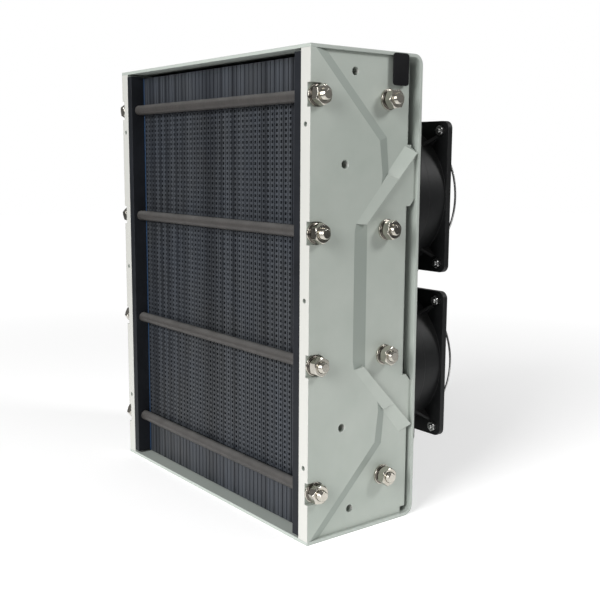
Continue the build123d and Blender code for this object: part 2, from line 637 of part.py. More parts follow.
def finger_guard():
    """Welded guard: rings on four legs, each leg ending in an eye under a corner screw."""
    level = HOUSING_REAR + GUARD_STAND_OFF
    half = GUARD_WIRE / 2
    step = (GUARD_RADIUS - GUARD_INNER_RADIUS) / (GUARD_RINGS - 1)
    sketch = Sketch()
    for i in range(GUARD_RINGS):
        radius = GUARD_INNER_RADIUS + step * i
        sketch += Circle(radius + half) - Circle(radius - half)
    guard = slab(sketch, level, level + GUARD_WIRE)
    corner = FAN_HOLE_PITCH / math.sqrt(2)
    eye_radius = FAN_SCREW_RADIUS + GUARD_EYE_WALL
    bend = corner - eye_radius
    side = [
        (GUARD_INNER_RADIUS, level), (GUARD_RADIUS, level), (bend, HOUSING_REAR),
        (corner, HOUSING_REAR), (corner, HOUSING_REAR + GUARD_WIRE), (bend, HOUSING_REAR + GUARD_WIRE),
        (GUARD_RADIUS, level + GUARD_WIRE), (GUARD_INNER_RADIUS, level + GUARD_WIRE),
    ]
    face = Face(Wire.make_polygon([Vector(r, -half, z) for r, z in side], close=True))
    leg = extrude(face, amount=GUARD_WIRE, dir=(0, 1, 0))
    for quarter in range(4):
        guard += Rot(0, 0, 45 + 90 * quarter) * leg
    for eye in at_corners(slab(small_round(eye_radius), HOUSING_REAR, HOUSING_REAR + GUARD_WIRE)):
        guard += eye
    for hole in at_corners(slab(small_round(FAN_SCREW_RADIUS), HOUSING_REAR, HOUSING_REAR + GUARD_WIRE)):
        guard -= hole
    return guard


def fan_screw(seat, nut_face, direction):
    """Pan-head screw whose head sits on seat and whose thread ends past the nut on nut_face."""
    head_end = seat - direction * FAN_SCREW_HEAD_HEIGHT
    thread_end = nut_face + direction * (FAN_NUT_HEIGHT + FAN_THREAD_END)
    head = slab(small_round(FAN_SCREW_HEAD_RADIUS), min(seat, head_end), max(seat, head_end))
    thread = slab(small_round(FAN_SCREW_RADIUS), min(seat, thread_end), max(seat, thread_end))
    return head + thread


def fan_fasteners():
    """Screws and nuts of the guards and of the fans' front flanges, for all four fans."""
    nut = hex_nut(FAN_NUT_FLATS, FAN_NUT_HEIGHT, FAN_SCREW_RADIUS)
    pieces = {
        "guard_screws": fan_screw(HOUSING_REAR + GUARD_WIRE, REAR_FLANGE, -1),
        "guard_nuts": Pos(0, 0, REAR_FLANGE - FAN_NUT_HEIGHT) * nut,
        "fan_mount_screws": fan_screw(-SHEET, FRONT_FLANGE, 1),
        "fan_mount_nuts": Pos(0, 0, FRONT_FLANGE) * nut,
    }
    return {
        node: [on_fan(name, copy) for name in FANS for copy in at_corners(piece)]
        for node, piece in pieces.items()
    }


# ---- hydrogen fittings
def fitting_thread(z):
    """Room that a fitting's thread takes in the left end plate."""
    return bore(FITTING_THREAD_RADIUS, -OUTER_FACE, -INSULATOR_FACE, FITTING_INSET, z)


def fitting_seat(z):
    """Flat spot face on the left end plate, so that the fitting's hexagon seats."""
    return bore(FITTING_FLATS / math.sqrt(3) + FITTING_SEAT_MARGIN, -OUTER_FACE, -LOW_FACE, FITTING_INSET, z)


def hydrogen_fitting(z):
    """Push-in fitting: thread, hexagon, body and release collar around the tube's bore."""
    thread_end = INSULATOR_FACE - LOW_FACE
    body = slab(Circle(FITTING_THREAD_RADIUS), thread_end, 0)
    body += extrude(RegularPolygon(FITTING_FLATS / math.sqrt(3), 6), amount=FITTING_HEX_HEIGHT)
    level = FITTING_HEX_HEIGHT
    body += slab(Circle(FITTING_BODY_RADIUS), level, level + FITTING_BODY_LENGTH)
    level += FITTING_BODY_LENGTH
    body += slab(Circle(FITTING_COLLAR_RADIUS), level, level + FITTING_COLLAR_LENGTH)
    level += FITTING_COLLAR_LENGTH
    body -= slab(Circle(TUBE_BORE_RADIUS), thread_end, level)
    return Pos(-LOW_FACE, FRONT + FITTING_INSET, z) * Rot(0, -90, 0) * body


# ---- writing the nodes
def write(node, shapes):
    shapes = shapes if isinstance(shapes, list) else [shapes]
    solids = [solid for shape in shapes for solid in shape.solids()]
    shape = solids[0] if len(solids) == 1 else Compound(children=solids)
    export_step(shape, f"parts/{node}.step")


def main():
    right_plate = end_plate()
    left_plate = other_side(right_plate)
    for z in FITTING_HEIGHTS.values():
        left_plate = left_plate - fitting_thread(z) - fitting_seat(z)
    write("end_plate_right", right_plate)
    write("end_plate_left", left_plate)
    for node, make in (("insulator_plate", insulator_plate), ("current_collector", current_collector),
                       ("terminal_cap", terminal_cap)):
        piece = make()
        write(node + "_right", piece)
        write(node + "_left", other_side(piece))
    write("bipolar_plates", bipolar_plates())
    write("membrane_frames", membrane_frames())
    write("tie_rods", tie_rods())
    write("front_rod_sleeves", rod_sleeves(FRONT_ROD_INSET))
    write("rear_rod_sleeves", rod_sleeves(REAR_ROD_INSET))
    write("flat_washers", on_rod_ends(washer(WASHER_RADIUS, ROD_RADIUS, WASHER_THICKNESS), 0))
    write("disc_springs", on_rod_ends(disc_spring(), WASHER_THICKNESS))
    nut = hex_nut(NUT_FLATS, NUT_HEIGHT, ROD_RADIUS)
    write("tie_rod_nuts", on_rod_ends(nut, WASHER_THICKNESS + SPRING_THICKNESS))
    write("shroud", shroud())
    screws = shroud_screws()
    write("shroud_screws", screws + [other_side(screw) for screw in screws])
    for name in FANS:
        for node, piece in (("fan_gasket", fan_gasket()), ("fan_housing", fan_housing()),
                            ("fan_rotor", fan_rotor()), ("fan_shaft", fan_shaft()),
                            ("fan_stator", fan_stator()), ("finger_guard", finger_guard())):
            write(f"{node}_{name}", on_fan(name, piece))
        write(f"fan_bearings_{name}", [on_fan(name, bearing) for bearing in fan_bearings()])
    for node, pieces in fan_fasteners().items():
        write(node, pieces)
    for node, z in FITTING_HEIGHTS.items():
        write(node, hydrogen_fitting(z))


main()
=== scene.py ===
import json
import math

import bmesh
import bpy
import numpy as np
from mathutils import Matrix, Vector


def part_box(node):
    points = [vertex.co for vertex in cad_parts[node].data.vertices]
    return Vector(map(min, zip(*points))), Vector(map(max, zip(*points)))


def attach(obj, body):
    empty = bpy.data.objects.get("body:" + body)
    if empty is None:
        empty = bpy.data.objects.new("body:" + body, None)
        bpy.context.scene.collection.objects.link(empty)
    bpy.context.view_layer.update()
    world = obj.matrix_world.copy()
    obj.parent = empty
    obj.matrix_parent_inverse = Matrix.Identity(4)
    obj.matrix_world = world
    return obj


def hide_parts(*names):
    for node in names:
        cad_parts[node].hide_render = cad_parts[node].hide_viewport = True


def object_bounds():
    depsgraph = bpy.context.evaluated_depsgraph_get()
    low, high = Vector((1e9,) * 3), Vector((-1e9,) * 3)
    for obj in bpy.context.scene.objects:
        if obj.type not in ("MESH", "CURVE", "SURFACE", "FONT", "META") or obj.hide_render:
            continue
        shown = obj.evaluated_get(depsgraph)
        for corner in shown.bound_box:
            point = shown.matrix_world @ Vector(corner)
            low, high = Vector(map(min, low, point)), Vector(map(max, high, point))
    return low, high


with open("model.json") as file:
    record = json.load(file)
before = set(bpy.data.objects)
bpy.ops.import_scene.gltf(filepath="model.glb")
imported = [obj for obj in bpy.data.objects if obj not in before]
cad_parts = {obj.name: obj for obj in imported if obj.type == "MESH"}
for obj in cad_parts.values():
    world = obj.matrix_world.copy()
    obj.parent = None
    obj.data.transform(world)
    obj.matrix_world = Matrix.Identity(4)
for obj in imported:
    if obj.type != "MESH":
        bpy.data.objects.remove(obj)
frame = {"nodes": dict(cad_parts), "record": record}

bl_info = {
    "name": "Air-cooled fuel cell stack",
    "version": (1, 0, 0),
    "blender": (4, 5, 0),
    "location": "3D View > Sidebar > Stack",
    "description": "Dresses an air-cooled fuel cell stack: cells, tie rods, end plates, shroud and fans",
    "category": "Object",
}

CAD_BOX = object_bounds()
FAN_NAMES = ("upper_right", "upper_left", "lower_right", "lower_left")
ROOT_BODY = "stack"

# Nuts: shares of half the width across flats, of the turned edge, of the rod's radius and of the
# height, and the turned edge of a fan's nut. Lengths here and below are in metres.
NUT_END_RADIUS = 0.97
NUT_COUNTERSINK = 0.6
NUT_BORE = 0.97
NUT_EDGE = 0.13
FAN_NUT_EDGE = 0.0005

# Screw heads: shares of the head's height, then of its radius, and the chamfer of the shank's end
HEAD_RIM_DROP = 0.55
CROSS_DEPTH = 0.45
CROSS_HALF_WIDTH = 0.13
CROSS_FLANK = 0.05
CROSS_REACH = 0.62
CROSS_END_SLOPE = 0.12
SHANK_CHAMFER = 0.0004

# Tie rods: the rounding of washers and disc springs; how far a disc spring's bore stands above its
# rim, as a share of its height; a thread's depth and its chamfer; and the plain core between the
# threads, as a share of the rod's radius, which runs on past the washers' seats into the nuts
SOFT_EDGE = 0.0003
SPRING_CONE = 0.55
THREAD_DEPTH = 0.00055
ROD_TIP_CHAMFER = 0.0009
ROD_CORE = 0.93
ROD_CORE_OVERRUN = 0.009

# Fans: the shaft and the hub's rounding; a blade's chord and its pitch in degrees, at root and tip;
# its camber; half its thickness, and the share of that at its edges; its sweep at the tip, in
# radians; and its clearance from the hub's ends
SHAFT_RADIUS = 0.0015
HUB_ROUNDING = 0.0016
ROOT_CHORD, TIP_CHORD = 0.027, 0.038
ROOT_PITCH, TIP_PITCH = 52.0, 27.0
BLADE_CAMBER = 0.0034
BLADE_HALF_THICKNESS = 0.0011
BLADE_EDGE_SHARE = 0.25
BLADE_SWEEP = 0.10
BLADE_CLEARANCE = 0.0004

# Finger guards: the eye round a screw, the swell of the middle, and the rings' lift in wire radii
GUARD_EYE = 0.0029
GUARD_DOME = 0.0012
RING_LIFT = 1.6

# Hydrogen fittings: the body's rounding, the hexagon's turned edge, and its bore over the body
FITTING_ROUNDING = 0.0004
FITTING_EDGE = 0.0009
FITTING_BORE = 0.98

# Stage: the floor lies a little below the part; lamps look at its middle from a direction; and the
# camera has a place, a direction, a roll in radians, and a lens and sensor in millimetres
FLOOR_DROP = 0.0002
FLOOR_TONE = (0.86, 0.86, 0.86)
BLACK = (0.0, 0.0, 0.0)
WHITE = (1, 1, 1, 1)
KEY_LAMP = {"direction": (0.66, 0.50, 0.56), "distance": 1.6, "size": 0.36}
FRONT_LAMP = {"direction": (0.22, -0.90, 0.37), "distance": 1.9, "size": 1.2}
CAMERA_PLACE = (0.6354, -0.4441, 0.2769)
CAMERA_AHEAD = (-0.78300, 0.60399, -0.14866)
CAMERA_ROLL = 0.00595
CAMERA_LENS = 54.71
CAMERA_SENSOR = 36.0
CAMERA_CLIP = 0.01

# Painted light: the paler tone of the end plates' faces that look to the front lamp; painted shade: the
# darker, greener tone of their slopes that look to the rear; and the depth of every grain
# Painted light: the paler tone laid on end-plate faces that look to the front lamp
PAINTED_FRONT_LIGHT = (0.52, 0.52, 0.49)
# Painted shade: the darker, greener tone laid on end-plate slopes that look to the rear
PAINTED_SLOPE_SHADE = (0.275, 0.310, 0.280)
BUMP_DISTANCE = 0.0004


# ---------------------------------------------------------------- surfaces as arrays
def grid_faces(rows, columns, close_rows, close_columns):
    """Quads of a rows by columns grid of points, row after row. A closed direction joins its last
    line of points to its first."""
    r = np.arange(rows if close_rows else rows - 1)
    c = np.arange(columns if close_columns else columns - 1)
    r, c = np.meshgrid(r, c, indexing="ij")
    r1, c1 = (r + 1) % rows, (c + 1) % columns
    quads = [r * columns + c, r1 * columns + c, r1 * columns + c1, r * columns + c1]
    return np.stack(quads, axis=-1).reshape(-1, 4)


def surface(points, close_rows=False, close_columns=False):
    """One surface, as its points and quads, from an array of points of shape rows, columns, 3."""
    rows, columns = points.shape[:2]
    return points.reshape(-1, 3), grid_faces(rows, columns, close_rows, close_columns)


def around(steps):
    """The angles of one turn in equal steps, without the last one, which is the first."""
    return np.linspace(0.0, 2 * math.pi, steps, endpoint=False)


def polar(radius, angle, height):
    """Points at a radius and an angle about Z, at a height. The three arrays are broadcast."""
    return np.stack(np.broadcast_arrays(radius * np.cos(angle), radius * np.sin(angle), height), axis=-1)


def turned(profile, steps, close_profile=True):
    """Surface of revolution about Z of a profile of radius and height pairs."""
    points = polar(profile[:, :1], around(steps), profile[:, 1:])
    return surface(points, close_rows=close_profile, close_columns=True)


def tube(path, radius, steps, closed):
    """Round wire: a circle of steps points carried along the path, square to its direction. The
    path's own direction and a fixed side vector give each circle's plane."""
    ahead = np.roll(path, -1, axis=0) - np.roll(path, 1, axis=0)
    if not closed:
        ahead[0] = path[1] - path[0]
        ahead[-1] = path[-1] - path[-2]
    ahead /= np.linalg.norm(ahead, axis=1, keepdims=True)
    side = np.cross(ahead, np.array([0.0, 0.0, 1.0]))
    weak = np.linalg.norm(side, axis=1) < 1e-6
    side[weak] = np.array([1.0, 0.0, 0.0])
    side /= np.linalg.norm(side, axis=1, keepdims=True)
    up = np.cross(side, ahead)
    angle = around(steps)[None, :, None]
    points = path[:, None, :] + radius * (side[:, None, :] * np.cos(angle) + up[:, None, :] * np.sin(angle))
    if not closed:
        first = np.repeat(path[:1, None, :], steps, axis=1)
        last = np.repeat(path[-1:, None, :], steps, axis=1)
        points = np.concatenate([first, points, last], axis=0)
    return surface(points, close_rows=closed, close_columns=True)


def moved(surf, place):
    """The same surface with every point sent through place, a function of an array of points."""
    points, faces = surf
    return place(points), faces


def spun(surf, angle):
    """The same surface turned about Z by an angle."""
    cos, sin = math.cos(angle), math.sin(angle)
    return moved(surf, lambda p: np.stack(
        [p[:, 0] * cos - p[:, 1] * sin, p[:, 0] * sin + p[:, 1] * cos, p[:, 2]], axis=1))


def rounded_loop(outline, radius, steps=3):
    """Closed outline with each corner rounded by the given radius: a corner is replaced by points
    of the quadratic curve from one tangent point over the corner to the next."""
    outline = np.asarray(outline, dtype=float)
    before = np.roll(outline, 1, axis=0) - outline
    after = np.roll(outline, -1, axis=0) - outline
    length_before = np.linalg.norm(before, axis=1, keepdims=True)
    length_after = np.linalg.norm(after, axis=1, keepdims=True)
    reach = np.minimum(radius, 0.49 * np.minimum(length_before, length_after))
    start = outline + before / length_before * reach
    end = outline + after / length_after * reach
    t = np.linspace(0.0, 1.0, steps + 1)[None, :, None]
    curve = (1 - t) ** 2 * start[:, None] + 2 * t * (1 - t) * outline[:, None] + t ** 2 * end[:, None]
    return curve.reshape(-1, 2)


def hexagon_scale(angle):
    """Radius of a hexagon over the radius of the circle inside it, as a function of the angle."""
    sector = math.pi / 3
    return 1.0 / np.cos((angle + sector / 2) % sector - sector / 2)


def hex_nut(flats, height, bore, edge, steps=72):
    """Hexagon nut: the outside is the smaller of the hexagon and a cone that turns both ends
    back, and the bore is round with a small countersink."""
    angle = around(steps)
    hexagon = flats / 2 * hexagon_scale(angle)
    levels = np.array([0.0, 0.25, 0.5, 0.75, 1.0]) * edge
    heights = np.concatenate([levels, [height / 2], height - levels[::-1]])
    from_end = np.minimum(heights, height - heights)
    end_radius, corner_radius = flats / 2 * NUT_END_RADIUS, flats / math.sqrt(3)
    cone = end_radius + from_end / edge * (corner_radius - end_radius)
    outside = np.minimum(hexagon[None, :], np.maximum(cone, end_radius)[:, None])
    sink = edge * NUT_COUNTERSINK
    inside = np.array([bore + sink, bore, bore, bore + sink])[:, None] * np.ones(steps)
    level = np.concatenate([heights, [height, height - sink, sink, 0.0]])[:, None]
    points = polar(np.concatenate([outside, inside]), angle, level)
    return surface(points, close_rows=True, close_columns=True)


def pan_head(radius, height, shank, length, rows=12, steps=48):
    """Screw whose head is a flattened dome with a cross recess. The top is a height over a polar
    grid: the dome, less a depth wherever the smaller of the distances to the two axes is under
    half the width of the cross and the radius is under its reach."""
    angle = around(steps)[None, :]
    r = np.linspace(0.0, 1.0, rows)[:, None] ** 0.8 * radius
    dome = height * (1.0 - HEAD_RIM_DROP * (r / radius) ** 3)
    near = np.minimum(np.abs(r * np.cos(angle)), np.abs(r * np.sin(angle)))
    across = np.clip((CROSS_HALF_WIDTH * radius - near) / (CROSS_FLANK * radius) + 0.5, 0.0, 1.0)
    reach = np.clip((CROSS_REACH * radius - r) / (CROSS_END_SLOPE * radius), 0.0, 1.0)
    top = dome - CROSS_DEPTH * height * across * reach
    below = np.array([[radius, 0.0], [shank, 0.0], [shank, SHANK_CHAMFER - length],
                      [shank - SHANK_CHAMFER, -length], [0.0, -length]])
    radii = np.concatenate([r, below[:, :1]])
    levels = np.concatenate([top, below[:, 1:] * np.ones_like(angle)])
    return surface(polar(radii, angle, levels), close_columns=True)


def threaded_end(radius, length, pitch, depth, chamfer, steps=36, per_turn=6):
    """Screw thread about Z from 0 to length: the radius falls by depth in a triangle wave of the
    height over the pitch less the angle over a turn, and a chamfer closes the tip."""
    rows = int(round(length / pitch * per_turn)) + 1
    height = np.linspace(0.0, length, rows)[:, None]
    angle = around(steps)[None, :]
    phase = (height / pitch - angle / (2 * math.pi)) % 1.0
    wave = np.abs(phase - 0.5) * 2.0
    chamfered = radius - np.clip(height - (length - chamfer), 0.0, None)
    points = polar(np.minimum(radius - depth * (1.0 - wave), chamfered), angle, height)
    first, last = np.zeros((2, 1, steps, 3))
    last[..., 2] = length
    return surface(np.concatenate([first, points, last]), close_columns=True)


def channelled_plate(x0, x1, y0, y1, z0, z1, hole_width, hole_levels):
    """Plate with one column of rectangular channels from its front face to its back. Both faces
    are grids cut at the channels' edges with those cells left open, and each channel adds four
    walls from one face to the other."""
    middle = (x0 + x1) / 2
    xs = np.array([x0, middle - hole_width / 2, middle + hole_width / 2, x1])
    zs = np.concatenate([[z0], hole_levels.reshape(-1), [z1]])
    columns = len(zs)
    front = np.stack(np.meshgrid(xs, [y0], zs, indexing="ij"), axis=-1)[:, 0]
    back = front.copy()
    back[..., 1] = y1
    points = np.concatenate([front.reshape(-1, 3), back.reshape(-1, 3)])
    offset = 4 * columns
    faces = grid_faces(4, columns, False, False)
    cell = np.arange(len(faces))
    is_hole = (cell // (columns - 1) == 1) & ((cell % (columns - 1)) % 2 == 1)
    solid = faces[~is_hole]
    hole = faces[is_hole]
    walls = [np.stack([hole[:, a], hole[:, b], hole[:, b] + offset, hole[:, a] + offset], axis=1)
             for a, b in ((0, 1), (1, 2), (2, 3), (3, 0))]
    rim_left = np.stack([np.arange(columns - 1), np.arange(1, columns)], axis=1)
    rim_right = rim_left + 3 * columns
    ends_low = np.stack([np.arange(3) * columns, (np.arange(3) + 1) * columns], axis=1)
    ends_high = ends_low + columns - 1
    rims = [np.concatenate([rim, rim[:, ::-1] + offset], axis=1)
            for rim in (rim_left, rim_right, ends_low, ends_high)]
    quads = np.concatenate([solid, solid + offset] + walls + rims)
    return points, quads


def shifted_copies(surf, offsets):
    """Copies of a surface at each of several offsets, as one surface."""
    points, faces = surf
    count = len(points)
    all_points = (points[None, :, :] + offsets[:, None, :]).reshape(-1, 3)
    all_faces = (faces[None, :, :] + (np.arange(len(offsets)) * count)[:, None, None]).reshape(-1, 4)
    return all_points, all_faces


def make_piece(name, surfaces, node_slot, replaced, body=ROOT_BODY, look=None, sharp_angle=32.0):
    """Puts surfaces into one mesh object, closes seams and poles, turns faces outwards, hangs it
    on the body it rides on and hides the CAD pieces it stands for. Its finish is the slot's own
    unless look names another."""
    points = np.concatenate([p for p, _ in surfaces])
    starts = np.cumsum([0] + [len(p) for p, _ in surfaces[:-1]])
    faces = np.concatenate([f + start for (_, f), start in zip(surfaces, starts)])
    mesh = bpy.data.meshes.new(name)
    mesh.vertices.add(len(points))
    mesh.vertices.foreach_set("co", points.astype(np.float32).ravel())
    mesh.loops.add(faces.size)
    mesh.loops.foreach_set("vertex_index", faces.astype(np.int32).ravel())
    mesh.polygons.add(len(faces))
    mesh.polygons.foreach_set("loop_start", np.arange(0, faces.size, 4, dtype=np.int32))
    mesh.update(calc_edges=True)
    work = bmesh.new()
    work.from_mesh(mesh)
    bmesh.ops.remove_doubles(work, verts=work.verts, dist=1e-6)
    bmesh.ops.dissolve_degenerate(work, edges=work.edges, dist=1e-7)
    bmesh.ops.recalc_face_normals(work, faces=work.faces)
    work.to_mesh(mesh)
    work.free()
    mesh.polygons.foreach_set("use_smooth", np.ones(len(mesh.polygons), dtype=bool))
    mesh.set_sharp_from_angle(angle=math.radians(sharp_angle))
    mesh.update()
    piece = bpy.data.objects.new(name, mesh)
    bpy.context.scene.collection.objects.link(piece)
    mesh.materials.append(finish(look or node_slot))
    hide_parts(*replaced)
    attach(piece, body)


# ---------------------------------------------------------------- places read from the frame
def corners(node):
    """The low and the high corner of a CAD piece's box."""
    low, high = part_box(node)
    return np.array(low, dtype=float), np.array(high, dtype=float)


def rod_lines(radius):
    """Heights of the four rows of rods, the two depths at which they lie, front then rear, and how
    far they reach along X."""
    low, high = corners("tie_rods")
    heights = np.linspace(low[2] + radius, high[2] - radius, 4)
    return heights, (low[1] + radius, high[1] - radius), high[0]


def along_x(x, y, z, side):
    """Sends a piece made about Z to a seat that looks along +X (side 1) or -X (side -1)."""
    if side > 0:
        return lambda p: np.stack([x + p[:, 2], y + p[:, 0], z + p[:, 1]], axis=1)
    return lambda p: np.stack([-x - p[:, 2], y + p[:, 1], z + p[:, 0]], axis=1)


def fan_place(name):
    """Sends a piece made about Z, with z counted from the rear sheet, to its fan."""
    low, high = corners("fan_gasket_" + name)
    x, z = (low[0] + high[0]) / 2, (low[2] + high[2]) / 2
    return lambda p: np.stack([x + p[:, 0], low[1] + p[:, 2], z - p[:, 1]], axis=1)


def level_side(back):
    """The level direction to the right of a lamp or camera whose back looks along back."""
    side = np.cross(np.array([0, 0, 1.0]), back)
    return side / np.linalg.norm(side)


def world_matrix(side, up, back, position):
    """World matrix of an object whose own X, Y and Z axes are side, up and back."""
    return Matrix(np.array([[*side, 0], [*up, 0], [*back, 0], [*position, 1]]).T.tolist())


# ---------------------------------------------------------------- shared shader groups
def new_group(name, inputs, outputs):
    """Shader node group with named sockets. inputs maps a name to its type and default."""
    group = bpy.data.node_groups.new(name, "ShaderNodeTree")
    for socket_name, (kind, default) in inputs.items():
        socket = group.interface.new_socket(name=socket_name, in_out="INPUT", socket_type=kind)
        socket.default_value = default
    for socket_name, kind in outputs.items():
        group.interface.new_socket(name=socket_name, in_out="OUTPUT", socket_type=kind)
    return group, group.nodes.new("NodeGroupInput"), group.nodes.new("NodeGroupOutput")


def add_node(tree, kind, inputs=(), **settings):
    """A new node with its settings made and its inputs fed. inputs maps a socket's name or place to
    another socket, which is linked, or to a number or colour, which is set."""
    node = tree.nodes.new(kind)
    for name, value in settings.items():
        setattr(node, name, value)
    for key, value in dict(inputs).items():
        if isinstance(value, bpy.types.NodeSocket):
            tree.links.new(value, node.inputs[key])
        else:
            node.inputs[key].default_value = value
    return node


def math_node(tree, operation, a, b=0.0, clamp=False):
    """One sum, product or other operation on two values. Some operations need only the first."""
    return add_node(tree, "ShaderNodeMath", {0: a, 1: b}, operation=operation, use_clamp=clamp).outputs[0]


def remap(tree, value, low, high, to_low=0.0, to_high=1.0):
    """A value between low and high brought to between to_low and to_high, and held there."""
    inputs = {"Value": value, "From Min": low, "From Max": high, "To Min": to_low, "To Max": to_high}
    return add_node(tree, "ShaderNodeMapRange", inputs).outputs["Result"]


def mix_colour(tree, factor, a, b):
    """a at factor 0 and b at factor 1. Each is a colour socket or three numbers."""
    a, b = ((*value, 1.0) if isinstance(value, tuple) else value for value in (a, b))
    return add_node(tree, "ShaderNodeMix", {"Factor": factor, 6: a, 7: b}, data_type="RGBA").outputs[2]


def noise(tree, vector, scale, detail=3.0, roughness=0.55):
    inputs = {"Vector": vector, "Scale": scale, "Detail": detail, "Roughness": roughness}
    return add_node(tree, "ShaderNodeTexNoise", inputs).outputs["Fac"]


def object_coordinates(tree):
    return tree.nodes.new("ShaderNodeTexCoord").outputs["Object"]


def components(tree, vector):
    """The outputs X, Y and Z of a vector socket."""
    return add_node(tree, "ShaderNodeSeparateXYZ", {0: vector}).outputs


def mottle_group():
    """Soft patches: two sizes of noise added together, as a mask from 0 to 1."""
    group, enter, leave = new_group("Mottle", {"Scale": ("NodeSocketFloat", 12.0)},
                                    {"Mask": "NodeSocketFloat"})
    vector = object_coordinates(group)
    large = noise(group, vector, enter.outputs["Scale"], 2.0)
    small = noise(group, vector, math_node(group, "MULTIPLY", enter.outputs["Scale"], 5.3), 4.0)
    total = math_node(group, "ADD", math_node(group, "MULTIPLY", large, 0.65),
                      math_node(group, "MULTIPLY", small, 0.35))
    group.links.new(remap(group, total, 0.32, 0.68), leave.inputs["Mask"])
    return group


def grain_group():
    """Fine grain as a height from 0 to 1. Object coordinates are scaled by Stretch first, so that
    the grain can run along one axis."""
    group, enter, leave = new_group(
        "Grain", {"Scale": ("NodeSocketFloat", 900.0), "Stretch": ("NodeSocketVector", (1.0, 1.0, 1.0))},
        {"Height": "NodeSocketFloat"})
    factors = {0: object_coordinates(group), 1: enter.outputs["Stretch"]}
    stretched = add_node(group, "ShaderNodeVectorMath", factors, operation="MULTIPLY").outputs[0]
    fine = noise(group, stretched, enter.outputs["Scale"], 3.0, 0.7)
    group.links.new(fine, leave.inputs["Height"])
    return group


def wear_group():
    """Worn edges: where the rounded normal turns away from the face's own, broken up by noise."""
    group, enter, leave = new_group(
        "Edge wear", {"Radius": ("NodeSocketFloat", 0.0008), "Amount": ("NodeSocketFloat", 1.0)},
        {"Mask": "NodeSocketFloat", "Normal": "NodeSocketVector"})
    bevel = add_node(group, "ShaderNodeBevel", {"Radius": enter.outputs["Radius"]}, samples=4)
    geometry = add_node(group, "ShaderNodeNewGeometry")
    dot = add_node(group, "ShaderNodeVectorMath", {0: bevel.outputs["Normal"], 1: geometry.outputs["Normal"]},
                   operation="DOT_PRODUCT")
    turned_away = math_node(group, "SUBTRACT", 1.0, dot.outputs["Value"])
    broken = remap(group, noise(group, object_coordinates(group), 220.0, 4.0), 0.35, 0.6, 0.25, 1.0)
    mask = math_node(group, "MULTIPLY", remap(group, turned_away, 0.01, 0.16), broken)
    mask = math_node(group, "MULTIPLY", mask, enter.outputs["Amount"], clamp=True)
    group.links.new(mask, leave.inputs["Mask"])
    group.links.new(bevel.outputs["Normal"], leave.inputs["Normal"])
    return group


def dust_group():
    """Thin dust that settles on faces that look up, broken by noise."""
    group, enter, leave = new_group("Dust", {"Amount": ("NodeSocketFloat", 0.2)}, {"Mask": "NodeSocketFloat"})
    geometry = add_node(group, "ShaderNodeNewGeometry")
    up = remap(group, components(group, geometry.outputs["Normal"])["Z"], 0.2, 1.0)
    mask = math_node(group, "MULTIPLY", up, noise(group, object_coordinates(group), 45.0, 5.0))
    mask = math_node(group, "MULTIPLY", mask, enter.outputs["Amount"], clamp=True)
    group.links.new(mask, leave.inputs["Mask"])
    return group


